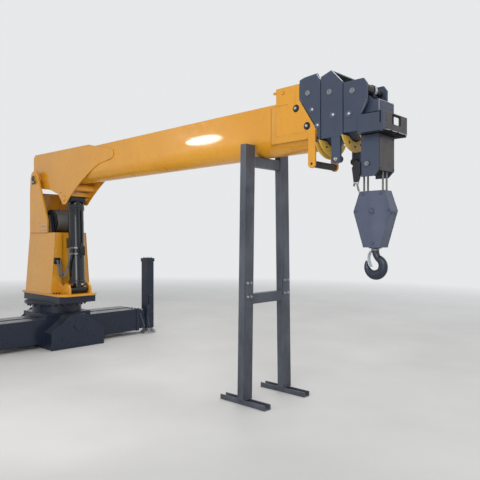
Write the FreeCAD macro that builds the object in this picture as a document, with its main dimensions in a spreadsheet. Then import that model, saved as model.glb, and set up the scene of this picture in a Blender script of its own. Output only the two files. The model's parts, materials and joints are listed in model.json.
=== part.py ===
# Truck-mounting telescopic crane unit, parked on its own base with its boom on a steel trestle.
# Frame: origin on the slewing axis at the floor, +X along the boom to its tip, +Z up.
# The camera's side of the crane is -Y. Every length is in millimetres.
import FreeCAD
import Part
import Sketcher
import math
import os

V = FreeCAD.Vector

# Driving dimensions: places along the boom are measured from the slewing axis, heights from the floor.
SIZES = {
    # general plate and clearance sizes
    "plate_thick": 12, "thin_plate": 6, "seat_gap": 0.3, "run_gap": 5, "pin_gap": 0.05,
    # base frame with its hexagonal end plates
    "base_half": 540, "base_wide": 350, "base_shoulder": 200, "base_top": 400, "base_flat": 95,
    "end_plate": 20, "base_lift": 0, "boss_rad": 60, "boss_high": 268, "boss_deep": 14,
    "pedestal_rad": 300, "pedestal_top": 514, "flange_rad": 390, "flange_low": 538, "flange_high": 623,
    "ring_bolts": 24, "bolt_rad": 14, "bolt_circle": 350,
    # outriggers, shown retracted
    "rigger_high": 350, "rigger_low": 60, "rigger_deep": 200, "rigger_front": 330, "rigger_rear": -130,
    "housing_reach": 1040, "housing_wall": 10, "beam_slack": 6, "pad_long": 60, "beam_inner": 120,
    "leg_wide": 120, "leg_gap": 110, "leg_low": 70, "leg_top": 1046, "leg_cap": 46, "cap_lip": 8,
    "leg_wall": 10, "jack_wide": 88, "foot_rad": 110, "foot_thick": 24, "gusset_size": 150,
    # turntable and column
    "table_thick": 27, "table_front": 600, "table_rear": -420, "table_corner": 90,
    "column_front": 350, "column_rear": -330, "column_half_low": 262, "column_half_high": 205,
    "column_top": 1391, "channel_half": 118, "channel_back": 312, "ear_in": 122, "ear_thick": 28,
    "tower_in": 196, "tower_thick": 22, "tower_front": 165, "tower_rear": -300,
    "tower_shoulder": 160, "tower_crown": 34, "tower_drop": 170,
    "foot_x": -180, "foot_z": 2080, "foot_pin": 40, "foot_boss": 68,
    # lift cylinder between its base pin and its rod pin
    "ram_x": 509, "ram_z": 702, "ram_pin": 34, "ram_eye": 46, "eye_x": 462, "eye_z": 1802,
    "barrel_rad": 92, "barrel_bore": 74, "barrel_start": 72, "barrel_end": 1022, "collar_rad": 101,
    "port_low": 500, "fitting_inset": 74, "column_fitting_z": 1048, "column_fitting_half": 36,
    "bulkhead_rad": 12, "bulkhead_long": 46, "ram_rod": 56, "eye_rad": 66, "eye_half": 94, "stub_rad": 32,
    # winch
    "winch_x": 135, "winch_z": 1540, "drum_rad": 126, "drum_flange": 140, "drum_half": 150,
    "flange_thick": 14, "drum_shaft": 30, "bracket_tail": 150, "bracket_nose": 110,
    "bracket_round": 75, "rope_rad": 7, "groove_play": 2,
    # boom sections: half width, top and bottom of the outer one, and what each inner one loses
    "boom_half": 140, "boom_top": 2353, "boom_bottom": 1970, "boom_wall": 6, "nest_step": 14,
    "boom_rear": -335, "boom_front": 4161, "inner_rear": -90, "inner_stagger": 25,
    "cheek_thick": 10, "cheek_ear": 75, "cheek_front": 1510, "cheek_rear": 125, "cheek_sweep": 2400,
    "cheek_root": 47, "cheek_hang": 107, "cheek_step": 180, "cheek_tail": 280, "cheek_lift": 175,
    "cheek_chin": 205, "cheek_low": 232, "cheek_high": 302, "cheek_nose": 60,
    "cheek_slope": 490, "cheek_rise": 27,
    "cheek_tube_x": 640, "cheek_tube_z": 1925, "cheek_bar_x": 536, "cheek_bar_z": 1826,
    "cheek_bar_high": 48,
    "slant_drop": 3, "slant_deep": 246, "collar_outer": 155, "ear_plate": 16,
    "wear_proud": 70, "wear_thick": 10, "wear_high": 36,
    "collar_long": 382, "slant_long": 159, "collar_rise": 112, "collar_plate": 14,
    "second_reach": 30, "third_reach": 186, "fourth_reach": 189, "head_setback": 69,
    "sheave_half": 13, "axle_rad": 17,
    "lug_hang": 1826, "lug_wide": 64, "roller_rad": 25, "stub_roller": 40,
    # head, its hook block and hook
    "head_long": 137, "sheave_forward": 51, "head_half": 104, "head_low": 1735, "head_high": 2250,
    "block_play": 3, "block_plate": 8, "block_sole": 24, "block_drop": 181, "block_shoulder": 140,
    "block_taper": 252, "block_wide": 284, "block_flat": 186, "block_foot": 130,
    "shank_rad": 24, "hook_drop": 131, "hook_bow": 60, "hook_bulk": 31, "hook_tip": 9,
    "block_sheave": 74, "fall_pitch": 26,
    "head_wall": 12, "head_corner": 40, "head_sheave_z": 1821, "head_sheave": 74,
    "bracket_half": 172, "bracket_reach": 72, "bracket_low": 2017, "bracket_high": 136,
    "window_y": 17, "window_z": 2107, "window_half": 49, "window_high": 28, "socket_thick": 22,
    "tip_sheave": 40, "tip_x": 46, "tip_z": 10,
    # trestle
    "stand_x": 3535, "stand_leg": 108, "stand_deep": 58, "stand_wall": 8, "stand_floor_half": 195,
    "stand_top_half": 158, "stand_top": 2060, "stand_bar": 80, "stand_mid": 870, "stand_foot": 480,
    "stand_foot_wide": 70, "stand_foot_high": 40,
}

doc = FreeCAD.newDocument("TelescopicCrane")
sheet = doc.addObject("Spreadsheet::Sheet", "Sheet")
for row, (alias, number) in enumerate(SIZES.items(), start=1):
    sheet.set("A%d" % row, alias)
    sheet.set("B%d" % row, str(number))
    sheet.setAlias("B%d" % row, alias)
doc.recompute()


class Size:
    """A length that keeps both its value and the sheet expression it comes from."""

    def __init__(self, value, text):
        self.value = float(value)
        self.text = text

    def __add__(self, other):
        other = size(other)
        return Size(self.value + other.value, "(%s + %s)" % (self.text, other.text))

    def __radd__(self, other):
        return size(other) + self

    def __sub__(self, other):
        other = size(other)
        return Size(self.value - other.value, "(%s - %s)" % (self.text, other.text))

    def __rsub__(self, other):
        return size(other) - self

    def __mul__(self, other):
        other = size(other)
        return Size(self.value * other.value, "(%s * %s)" % (self.text, other.text))

    __rmul__ = __mul__

    def __truediv__(self, other):
        other = size(other)
        return Size(self.value / other.value, "(%s / %s)" % (self.text, other.text))

    def __neg__(self):
        return Size(-self.value, "(-1 * %s)" % self.text)


def size(number):
    """Turn a plain number into a Size, and leave a Size as it is."""
    return number if isinstance(number, Size) else Size(number, "%.6g" % number)


class Named:
    """The sheet's cells by alias, as Sizes."""

    def __getattr__(self, alias):
        return Size(sheet.get(alias), "Sheet.%s" % alias)


S = Named()
LEG_IN = S.housing_reach + S.leg_gap
FITTING_Y = S.fitting_inset - S.column_half_low
BLOCK_HALF = S.fall_pitch + S.sheave_half + S.block_play + S.block_plate
COLLAR_BACK = S.boom_front - S.collar_long
COLLAR_BREAK = S.boom_front - S.slant_long
SECOND_FRONT = S.boom_front + S.second_reach
THIRD_FRONT = SECOND_FRONT + S.third_reach
FOURTH_FRONT = THIRD_FRONT + S.fourth_reach
HEAD_BACK = FOURTH_FRONT - S.head_setback
HEAD_FRONT = HEAD_BACK + S.head_long
HEAD_SHEAVE_X = HEAD_BACK + S.sheave_forward
COLLAR_TOP = S.boom_top + S.collar_rise
SLANT_TOP = S.boom_top - S.slant_drop
SLANT_LOW = S.boom_top - S.slant_deep
BLOCK_TOP = S.head_sheave_z - S.block_drop
BLOCK_MID = BLOCK_TOP - S.block_shoulder
BLOCK_LOW = BLOCK_MID - S.block_taper


def root(number):
    return Size(math.sqrt(number.value), "sqrt(%s)" % number.text)


def bind(thing, path, number):
    """Bind one property of a document object to a Size."""
    thing.setExpression(path, size(number).text)


def place(thing, x, y, z, rotation=None):
    if rotation is not None:
        thing.Placement = FreeCAD.Placement(V(0, 0, 0), rotation)
    for path, number in zip(("x", "y", "z"), (x, y, z)):
        bind(thing, "Placement.Base." + path, number)


def box(name, low, high):
    """A block between its lowest and highest corner."""
    thing = doc.addObject("Part::Box", name)
    for prop, a, b in zip(("Length", "Width", "Height"), low, high):
        bind(thing, prop, size(b) - size(a))
    place(thing, *low)
    return thing


TURNS = {
    "x": FreeCAD.Rotation(V(0, 1, 0), 90),
    "y": FreeCAD.Rotation(V(1, 0, 0), -90),
    "z": FreeCAD.Rotation(),
}


def rod(name, axis, start, radius, length):
    """A round bar that runs from start in the positive direction of an axis."""
    thing = doc.addObject("Part::Cylinder", name)
    bind(thing, "Radius", radius)
    bind(thing, "Height", length)
    place(thing, *start, rotation=TURNS[axis])
    return thing


def fuse(name, things):
    thing = doc.addObject("Part::MultiFuse", name)
    thing.Shapes = things
    thing.Refine = True
    return thing


def cut(name, base, tools):
    thing = doc.addObject("Part::Cut", name)
    thing.Base = base
    thing.Tool = tools[0] if len(tools) == 1 else fuse(name + "Tools", tools)
    thing.Refine = True
    return thing


def vertex_constraints(sketch, geo, pos, x, y):
    """Hold one end of an edge at a bound place."""
    for kind, prop, number in (("DistanceX", "x", x), ("DistanceY", "y", y)):
        index = sketch.addConstraint(Sketcher.Constraint(kind, -1, 1, geo, pos, size(number).value))
        bind(sketch, "Constraints[%d]" % index, number)


def arc_between(a, b, radius):
    """The arc from a to b; a positive radius turns to the left of the way from a to b."""
    middle = (a + b) * 0.5
    half = (b - a).Length / 2
    side = V(-(b - a).y, (b - a).x, 0).normalize()
    rise = math.sqrt(max(radius * radius - half * half, 0.0))
    centre = middle + side * (rise if radius > 0 else -rise)
    first, last = (a, b) if radius > 0 else (b, a)
    start = math.atan2(first.y - centre.y, first.x - centre.x)
    end = math.atan2(last.y - centre.y, last.x - centre.x)
    if end <= start:
        end += 2 * math.pi
    circle = Part.Circle(centre, V(0, 0, 1), abs(radius))
    return Part.ArcOfCircle(circle, start, end)


def hold_arc(sketch, arc, before, point):
    """Hold an arc by its radius, or a half circle by its centre, which lies between its ends."""
    radius = size(point[2])
    across, up = size(point[0]) - size(before[0]), size(point[1]) - size(before[1])
    if math.hypot(across.value, up.value) < 1.999 * abs(radius.value):
        radius = radius if radius.value > 0 else -radius
        index = sketch.addConstraint(Sketcher.Constraint("Radius", arc, radius.value))
        bind(sketch, "Constraints[%d]" % index, radius)
        return
    kind, middle = ("DistanceY", size(before[1]) + up / 2)
    if abs(up.value) > abs(across.value):
        kind, middle = ("DistanceX", size(before[0]) + across / 2)
    index = sketch.addConstraint(Sketcher.Constraint(kind, -1, 1, arc, 3, middle.value))
    bind(sketch, "Constraints[%d]" % index, middle)


def add_outline(sketch, points):
    """Draw a closed outline; a third value on a point is the radius of the arc that ends there."""
    ends = []
    count = len(points)
    for i, point in enumerate(points):
        after = points[(i + 1) % count]
        a = V(size(point[0]).value, size(point[1]).value, 0)
        b = V(size(after[0]).value, size(after[1]).value, 0)
        radius = size(after[2]) if len(after) > 2 else None
        if radius is None:
            geo = sketch.addGeometry(Part.LineSegment(a, b), False)
            ends.append((geo, 1, 2))
        else:
            geo = sketch.addGeometry(arc_between(a, b, radius.value), False)
            ends.append((geo, 1, 2) if radius.value > 0 else (geo, 2, 1))
    for i in range(count):
        geo, first, last = ends[i]
        next_geo, next_first, next_last = ends[(i + 1) % count]
        sketch.addConstraint(Sketcher.Constraint("Coincident", geo, last, next_geo, next_first))
    for i, point in enumerate(points):
        vertex_constraints(sketch, ends[i][0], ends[i][1], point[0], point[1])
        if len(point) > 2:
            hold_arc(sketch, ends[i - 1][0], points[i - 1], point)


def add_hole(sketch, x, y, radius):
    centre = V(size(x).value, size(y).value, 0)
    geo = sketch.addGeometry(Part.Circle(centre, V(0, 0, 1), size(radius).value), False)
    index = sketch.addConstraint(Sketcher.Constraint("Radius", geo, size(radius).value))
    bind(sketch, "Constraints[%d]" % index, radius)
    vertex_constraints(sketch, geo, 3, x, y)


def sketch_on(body, name, plane, start):
    """A sketch on one of the body's own planes, moved along the plane's normal to start."""
    sketch = body.newObject("Sketcher::SketchObject", name)
    planes = [feature for feature in body.Origin.OriginFeatures if feature.Role == plane + "_Plane"]
    sketch.AttachmentSupport = [(planes[0], "")]
    sketch.MapMode = "FlatFace"
    bind(sketch, "AttachmentOffset.Base.z", -size(start) if plane == "XZ" else start)
    return sketch


def plate(name, plane, outline, start, thick, holes=(), inner=()):
    """A plate cut to an outline, from start along +X, +Y or +Z, whichever the plane lacks."""
    body = doc.addObject("PartDesign::Body", name)
    sketch = sketch_on(body, name + "Sketch", plane, start)
    add_outline(sketch, outline)
    for loop in inner:
        add_outline(sketch, loop)
    for hole in holes:
        add_hole(sketch, *hole)
    pad = body.newObject("PartDesign::Pad", name + "Pad")
    pad.Profile = sketch
    bind(pad, "Length", thick)
    pad.Reversed = plane == "XZ"
    body.Tip = pad
    return body


def turned(name, plane, outline, centre, along):
    """A turned piece: its outline is drawn about the origin of a plane and spun round one axis."""
    body = doc.addObject("PartDesign::Body", name)
    sketch = sketch_on(body, name + "Sketch", plane, 0)
    add_outline(sketch, outline)
    spin = body.newObject("PartDesign::Revolution", name + "Spin")
    spin.Profile = sketch
    spin.ReferenceAxis = (sketch, [along])
    spin.Angle = 360
    body.Tip = spin
    place(body, *centre)
    return body


NODES = []


def node(label, thing):
    """Keep an object as one sub-part, under the name of its file."""
    thing.Label = label
    NODES.append(thing)
    return thing


def both_sides(make):
    """Make a piece on the near side and its twin on the far side."""
    return [make("Near", -1), make("Far", 1)]


def side_start(inner, thick, side):
    """Where a plate of a given thickness starts along Y, on either side of the middle."""
    return size(inner) if side > 0 else -(size(inner) + thick)


def base_frame():
    """Hexagonal end plates joined by a hollow hull, with the round pedestal on top."""
    def hexagon(inset, bottom):
        wide = S.base_wide - inset
        flat = S.base_flat - inset / 2
        return [(-wide, bottom), (wide, bottom), (wide, S.base_shoulder - inset / 2),
                (flat, S.base_top - inset), (-flat, S.base_top - inset),
                (-wide, S.base_shoulder - inset / 2)]

    zero = size(0)
    front = plate("FrontPlate", "YZ", hexagon(zero, zero), S.base_half - S.end_plate, S.end_plate)
    rear = plate("RearPlate", "YZ", hexagon(zero, zero), -S.base_half, S.end_plate)
    hull = plate("Hull", "YZ", hexagon(S.plate_thick, S.base_lift), S.end_plate - S.base_half,
                 2 * (S.base_half - S.end_plate),
                 inner=[hexagon(2 * S.plate_thick, S.base_lift + S.plate_thick)])
    tunnels = [box("Tunnel" + name, (back - S.rigger_deep, -S.base_half, S.rigger_low),
                   (back, S.base_half, S.rigger_high))
               for name, back in (("Front", S.rigger_front), ("Rear", S.rigger_rear + S.rigger_deep))]
    hull = cut("HullOpen", hull, tunnels)
    boss = rod("FrontBoss", "x", (S.base_half, 0, S.boss_high), S.boss_rad, S.boss_deep)
    rear_boss = rod("RearBoss", "x", (-S.base_half - S.boss_deep, 0, S.boss_high), S.boss_rad, S.boss_deep)
    pedestal = rod("PedestalWall", "z", (0, 0, S.base_top - S.plate_thick), S.pedestal_rad,
                   S.pedestal_top - S.base_top + S.plate_thick)
    saddle = box("PedestalSaddle", (-S.pedestal_rad, -S.pedestal_rad, S.rigger_high),
                 (S.pedestal_rad, S.pedestal_rad, S.base_top))
    node("base_frame", fuse("BaseFrame", [front, rear, hull, boss, rear_boss, pedestal, saddle]))

    flange = rod("RingFlange", "z", (0, 0, S.pedestal_top), S.flange_rad, S.flange_low - S.pedestal_top)
    bolts = []
    for i in range(int(SIZES["ring_bolts"])):
        turn = math.radians(360.0 * i / SIZES["ring_bolts"])
        bolts.append(rod("RingBolt%d" % i, "z", (S.bolt_circle * math.cos(turn),
                                                 S.bolt_circle * math.sin(turn),
                                                 S.pedestal_top - S.bolt_rad), S.bolt_rad, S.bolt_rad))
    node("slew_ring", fuse("SlewRing", [flange] + bolts))


def outrigger(name, side, back):
    """A housing across the base, its sliding beam with the leg, and the jack inside the leg."""
    front = back + S.rigger_deep
    reach = S.housing_reach
    outer = box("Housing%s" % name, (back, -reach, S.rigger_low), (front, reach, S.rigger_high))
    wall = S.housing_wall
    bore = box("HousingBore%s" % name, (back + wall, -reach - 1, S.rigger_low + wall),
               (front - wall, reach + 1, S.rigger_high - wall))
    node("outrigger_housing_%s" % name, cut("HousingTube%s" % name, outer, [bore]))
    near_end, gap = -side * (reach - S.beam_inner), wall + S.seat_gap
    pad = box("BeamPad%s" % name, (back + gap, near_end if side > 0 else near_end - S.pad_long,
                                   S.rigger_low + gap),
              (front - gap, near_end + S.pad_long if side > 0 else near_end, S.rigger_high - gap))

    slack = wall + S.beam_slack
    low, high = S.rigger_low + slack, S.rigger_high - slack
    if side > 0:
        start, end = S.beam_inner - reach, LEG_IN
    else:
        start, end = -LEG_IN, reach - S.beam_inner
    beam = fuse("BeamBar%s" % name, [box("Beam%s" % name, (back + slack, start, low),
                                         (front - slack, end, high)),
                                     pad])
    hollow = box("BeamBore%s" % name, (back + slack + wall, start - 1, low + wall),
                 (front - slack - wall, end + 1, high - wall))
    beam = cut("BeamTube%s" % name, beam, [hollow])

    middle = back + S.rigger_deep / 2 + side * S.leg_wide / 2
    half = S.leg_wide / 2
    inside = LEG_IN if side > 0 else -LEG_IN - S.leg_wide
    outside = inside + S.leg_wide
    leg = box("Leg%s" % name, (middle - half, inside, S.leg_low),
              (middle + half, outside, S.leg_top - S.leg_cap))
    lip = S.cap_lip
    cap = box("LegCap%s" % name, (middle - half - lip, inside - lip, S.leg_top - S.leg_cap),
              (middle + half + lip, outside + lip, S.leg_top))
    bore = box("LegBore%s" % name, (middle - half + S.leg_wall, inside + S.leg_wall, S.leg_low - 1),
               (middle + half - S.leg_wall, outside - S.leg_wall, S.leg_top - S.leg_cap))
    leg_tube = cut("LegTube%s" % name, fuse("LegBody%s" % name, [leg, cap]), [bore])
    root_y = LEG_IN * side
    toe = root_y - S.gusset_size * 0.6 * side
    triangle = [(root_y, low), (root_y, low + S.gusset_size), (toe, low)]
    gusset = plate("Gusset%s" % name, "YZ", triangle, front - slack, S.plate_thick)
    back_gusset = plate("BackGusset%s" % name, "YZ", triangle, back + slack - S.plate_thick, S.plate_thick)
    node("outrigger_beam_%s" % name, fuse("RiggerBeam%s" % name, [beam, gusset, back_gusset]))
    node("outrigger_leg_%s" % name, leg_tube)

    centre = inside + half
    grip = S.jack_wide / 2
    shaft = box("JackShaft%s" % name, (middle - grip, centre - grip, S.foot_thick),
                (middle + grip, centre + grip, S.leg_top - 2 * S.leg_cap))
    foot = rod("JackFoot%s" % name, "z", (middle, centre, 0), S.foot_rad, S.foot_thick)
    fit = half - S.leg_wall - S.seat_gap
    top = S.leg_top - 2 * S.leg_cap
    pad = box("JackPad%s" % name, (middle - fit, centre - fit, top - S.pad_long),
              (middle + fit, centre + fit, top))
    node("outrigger_jack_%s" % name, fuse("RiggerJack%s" % name, [shaft, foot, pad]))


def slewing_parts():
    """The dark slewing frame, the yellow turntable plate with the ears, and the column on it."""
    dark = box("SlewBox", (S.table_rear + S.seat_gap, -S.column_half_low + 22, S.flange_low + S.seat_gap),
               (S.table_front - 80, S.column_half_low - 22, S.flange_high))
    node("slew_frame", dark)

    half, corner = S.column_half_low, S.table_corner
    outline = [(S.table_rear, -half), (S.table_front - corner, -half), (S.table_front, corner - half),
               (S.table_front, half - corner), (S.table_front - corner, half), (S.table_rear, half)]
    table = plate("TablePlate", "XY", outline, S.flange_high, S.table_thick)
    table_top = S.flange_high + S.table_thick
    ear_round = S.ram_eye + 28

    def ear(name, side):
        outline = [(S.column_front, table_top), (S.ram_x + ear_round, table_top),
                   (S.ram_x + ear_round, S.ram_z),
                   (S.ram_x - ear_round, S.ram_z, ear_round), (S.column_front, S.ram_z + 70)]
        return plate("RamEar" + name, "XZ", outline, side_start(S.ear_in, S.ear_thick, side), S.ear_thick)

    pin_half = S.ear_in + S.ear_thick + 8
    pin = rod("RamPin", "y", (S.ram_x, -pin_half, S.ram_z), S.ram_pin, 2 * pin_half)
    node("turntable", fuse("Turntable", [table, pin] + both_sides(ear)))

    def trapezoid(inset, low, high):
        return [(inset - S.column_half_low, low), (S.column_half_low - inset, low),
                (S.column_half_high - inset, high), (inset - S.column_half_high, high)]

    outer = plate("ColumnOuter", "YZ", trapezoid(size(0), table_top, S.column_top), S.column_rear,
                  S.column_front - S.column_rear)
    void = plate("ColumnVoid", "YZ", trapezoid(S.plate_thick, table_top - 1, S.column_top - S.plate_thick),
                 S.column_rear + S.plate_thick, S.column_front - S.column_rear - 2 * S.plate_thick)
    channel = box("RamChannel", (S.channel_back, -S.channel_half, table_top - 1),
                  (S.column_front + 1, S.channel_half, S.column_top + 1))
    skin = S.plate_thick
    lining_out = box("ChannelOuter", (S.channel_back - skin, -S.channel_half - skin, table_top),
                     (S.column_front - 1, S.channel_half + skin, S.column_top - 1))
    wall = fuse("ColumnWalls", [cut("ColumnShell", outer, [void]), lining_out])
    node("column", cut("Column", wall, [channel]))

    crown = S.foot_boss + S.tower_crown
    back_top = S.foot_z - S.tower_drop

    def tower(name, side):
        outline = [(S.tower_rear, S.column_top), (S.tower_front, S.column_top),
                   (S.tower_front, S.column_top + S.tower_shoulder),
                   (S.foot_x + crown, S.foot_z), (S.foot_x - crown, S.foot_z, crown),
                   (S.tower_rear, back_top)]
        return plate("Tower" + name, "XZ", outline, side_start(S.tower_in, S.tower_thick, side),
                     S.tower_thick)

    def tower_boss(name, side):
        deep = S.tower_in - S.boom_half - S.cheek_thick - S.run_gap
        return rod("TowerBoss" + name, "y", (S.foot_x, side_start(S.tower_in - deep, deep, side), S.foot_z),
                   S.foot_boss, deep)

    back = box("TowerBack", (S.tower_rear, -S.tower_in, S.column_top),
               (S.tower_rear + S.plate_thick, S.tower_in, back_top))
    pin_half = S.tower_in + S.tower_thick + 14
    pin = rod("FootPin", "y", (S.foot_x, -pin_half, S.foot_z), S.foot_pin, 2 * pin_half)
    node("tower", fuse("TowerFrame", both_sides(tower) + both_sides(tower_boss) + [back, pin]))

    half = S.column_fitting_half

    def bulkhead(name, side):
        return rod("Bulkhead" + name, "x", (S.column_front, FITTING_Y + side * half * 0.5,
                                            S.column_fitting_z),
                   S.bulkhead_rad, S.bulkhead_long)

    node("column_fittings", fuse("ColumnFittings", [
        box("FittingBlock", (S.column_front, FITTING_Y - half, S.column_fitting_z - half),
            (S.column_front + S.bulkhead_rad * 2, FITTING_Y + half, S.column_fitting_z + half))]
        + both_sides(bulkhead)))


def winch():
    """The hoist winch between two brackets: a flanged drum that carries its layers of rope."""
    def bracket(name, side):
        crest = S.bracket_round
        outline = [(S.winch_x - S.bracket_tail, S.column_top), (S.winch_x + S.bracket_nose, S.column_top),
                   (S.winch_x + crest, S.winch_z), (S.winch_x - crest, S.winch_z, crest)]
        inner = S.drum_half + S.run_gap
        thick = S.tower_in - inner - S.seat_gap
        return plate("WinchBracket" + name, "XZ", outline, side_start(inner, thick, side), thick,
                     holes=[(S.winch_x, S.winch_z, S.drum_shaft + S.pin_gap)])

    node("winch_brackets", fuse("WinchBrackets", both_sides(bracket)))
    half, lip = S.drum_half, S.flange_thick
    rope, rim, shaft = S.drum_rad, S.drum_flange, S.drum_shaft
    tail = S.tower_in - 10
    outline = [(0, -tail), (shaft, -tail), (shaft, -half), (rim, -half), (rim, lip - half),
               (rope, lip - half),
               (rope, half - lip), (rim, half - lip), (rim, half), (shaft, half), (shaft, tail), (0, tail)]
    node("winch_drum", turned("WinchDrum", "XY", outline, (S.winch_x, 0, S.winch_z), "V_Axis"))


def ram():
    """The lift cylinder: barrel and rod are made upright over the base pin, then leaned to the rod pin."""
    run, rise = S.ram_x - S.eye_x, S.eye_z - S.ram_z
    length = Size(math.hypot(run.value, rise.value), "sqrt((%s)^2 + (%s)^2)" % (run.text, rise.text))
    lean = Size(-math.degrees(math.atan2(run.value, rise.value)),
                "(-1 * atan2(%s; %s))" % (run.text, rise.text))

    def leaned(thing):
        thing.Placement = FreeCAD.Placement(V(0, 0, 0), FreeCAD.Rotation(V(0, 1, 0), lean.value))
        bind(thing, "Placement.Rotation.Angle", lean)
        for path, number in (("x", S.ram_x), ("z", S.ram_z)):
            bind(thing, "Placement.Base." + path, number)
        return thing

    wide = S.ear_in - S.run_gap
    eye = rod("RamEye", "y", (0, -wide, 0), S.ram_eye, 2 * wide)
    neck = rod("RamNeck", "z", (0, 0, 0), S.ram_eye, S.barrel_start + 10)
    barrel = rod("RamBarrel", "z", (0, 0, S.barrel_start), S.barrel_rad, S.barrel_end - S.barrel_start)
    low_collar = rod("RamLowCollar", "z", (0, 0, S.barrel_start), S.collar_rad, 34)
    gland = rod("RamGland", "z", (0, 0, S.barrel_end - 70), S.collar_rad, 70)
    port = box("RamPort", (-30, -S.barrel_rad - 24, S.port_low), (30, -S.barrel_rad + 20, S.port_low + 120))
    bore = rod("RamBore", "z", (0, 0, S.barrel_start + 30), S.barrel_bore, S.barrel_end)
    throat = rod("RamEyeBore", "y", (0, -wide - 1, 0), S.ram_pin + S.pin_gap, 2 * wide + 2)
    body = fuse("RamBody", [eye, neck, barrel, low_collar, gland, port])
    node("ram_barrel", leaned(cut("RamTube", body, [bore, throat])))

    shaft = rod("RodShaft", "z", (0, 0, S.barrel_start + 70), S.ram_rod, length - S.barrel_start - 70)
    piston = rod("RodPiston", "z", (0, 0, S.barrel_start + 70), S.barrel_bore - S.pin_gap, 60)
    top_eye = rod("RodEye", "y", (0, -S.eye_half, length), S.eye_rad, 2 * S.eye_half)
    node("ram_rod", leaned(fuse("RamRod", [shaft, piston, top_eye])))


def section_outline(order, inset):
    """The U-shaped section of the boom: flat sides and top over a half-round bottom."""
    half = S.boom_half - order * S.nest_step - inset
    top = S.boom_top - order * S.nest_step - inset
    low = S.boom_bottom + order * S.nest_step + inset + half
    return [(half, top), (-half, top), (-half, low), (half, low, half)]


def section_tube(name, order, start, end):
    return plate(name, "YZ", section_outline(order, size(0)), start, end - start,
                 inner=[section_outline(order, S.boom_wall)])


def slider(order, rear):
    """The ring of wear pads round a section's rear end, which runs inside the section before it."""
    grow = S.boom_wall + S.seat_gap - S.nest_step
    return plate("Slider%d" % order, "YZ", section_outline(order, grow), rear, S.pad_long,
                 inner=[section_outline(order, size(1))])


def section_half(order):
    return S.boom_half - order * S.nest_step


def section_top(order):
    return S.boom_top - order * S.nest_step


def lug(name, inner, thick, x, wide, top, low, side):
    """A hanging lug with a round end."""
    half = wide / 2
    outline = [(x + half, low + half, half), (x + half, top), (x - half, top), (x - half, low + half)]
    return plate(name, "XZ", outline, side_start(inner, thick, side), thick)


def collar_roller(name, x, z, order, reach):
    """An axle through both ears of a collar, with a roller that runs just over the section's top."""
    axle = rod(name + "Axle", "y", (x, -reach, z), S.axle_rad, 2 * reach)
    radius = z - section_top(order) - 4
    roller = rod(name + "Roller", "y", (x, -section_half(order) / 2, z), radius, section_half(order))
    return fuse(name, [axle, roller])


def wear_plate(label, order, front):
    """The keeper plate of the lower wear pad: a crescent on a section's front edge, under the next one."""
    inner = section_half(order) - S.boom_wall
    outer = section_half(order) + S.wear_proud
    centre = S.boom_bottom + order * S.nest_step + section_half(order)
    drop = section_half(order) - S.wear_high
    wide, narrow = root(outer * outer - drop * drop), root(inner * inner - drop * drop)
    height = centre - drop
    outline = [(-wide, height), (wide, height, outer), (narrow, height), (-narrow, height, -inner)]
    node(label, plate("WearPlate%d" % order, "YZ", outline, front, S.wear_thick))


def boom_base():
    """The outer section with its foot bosses; the cheeks and the collar plates are nodes of their own."""
    tube = section_tube("BaseTube", 0, S.boom_rear, S.boom_front)
    half = S.boom_half + S.cheek_thick
    slant = plate("FrontSlant", "XZ", [(COLLAR_BREAK, SLANT_TOP), (S.boom_front, SLANT_LOW),
                                       (S.boom_front + S.run_gap, SLANT_LOW),
                                       (S.boom_front + S.run_gap, COLLAR_TOP),
                                       (COLLAR_BREAK, COLLAR_TOP)], -half, 2 * half)
    boss = rod("FootBoss", "y", (S.foot_x, -half, S.foot_z), S.foot_boss, 2 * half)
    rear = plate("BaseRearPlate", "YZ", section_outline(0, size(0)), S.boom_rear, S.plate_thick)
    bore = rod("FootBore", "y", (S.foot_x, -half - 1, S.foot_z), S.foot_pin + S.pin_gap, 2 * half + 2)
    node("boom_base", cut("BoomBase", fuse("BaseSection", [tube, boss, rear]), [slant, bore]))
    wear_plate("wear_plate_base", 0, S.boom_front)


def boom_cheeks():
    """The foot's cheek plates, which run from the pivot to the lift cylinder's pin, and their cross bars."""
    ear, reach, low, top = S.cheek_ear, S.cheek_front, S.boom_bottom, S.boom_top
    root_x = S.cheek_rear + S.cheek_step

    def cheek(name, side):
        outline = [(S.boom_rear, low + 20), (S.cheek_rear, low - S.cheek_root),
                   (root_x, low - S.cheek_hang),
                   (S.eye_x - 0.93 * ear, S.eye_z - 0.37 * ear),
                   (S.eye_x + 0.8 * ear, S.eye_z - 0.6 * ear, ear),
                   (reach - S.cheek_tail, low + S.cheek_lift, -S.cheek_sweep),
                   (reach - 45, low + S.cheek_chin), (reach, low + S.cheek_low, S.cheek_nose),
                   (reach - 10, low + S.cheek_high, S.cheek_nose),
                   (reach - S.cheek_slope, top + S.cheek_rise),
                   (S.boom_rear + 40, top + S.cheek_root), (S.boom_rear, top + 10)]
        return plate("Cheek" + name, "XZ", outline, side_start(S.boom_half, S.cheek_thick, side),
                     S.cheek_thick,
                     holes=[(S.foot_x, S.foot_z, S.foot_boss + S.pin_gap)])

    def stub(name, side):
        """The rod pin's stub on one cheek: it stops short of the rod's eye."""
        inner = S.eye_half + S.run_gap
        long = S.boom_half + S.cheek_thick - inner
        return rod("RodStub" + name, "y", (S.eye_x, side_start(inner, long, side), S.eye_z), S.stub_rad,
                   long)

    tube = rod("CheekTube", "y", (S.cheek_tube_x, -S.boom_half, S.cheek_tube_z), S.foot_pin,
               2 * S.boom_half)
    bar = box("CheekBar", (S.cheek_bar_x, -S.boom_half, S.cheek_bar_z),
              (S.cheek_bar_x + S.plate_thick, S.boom_half, S.cheek_bar_z + S.cheek_bar_high))
    node("boom_cheeks", fuse("BoomCheeks", [tube, bar] + both_sides(cheek) + both_sides(stub)))


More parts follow.
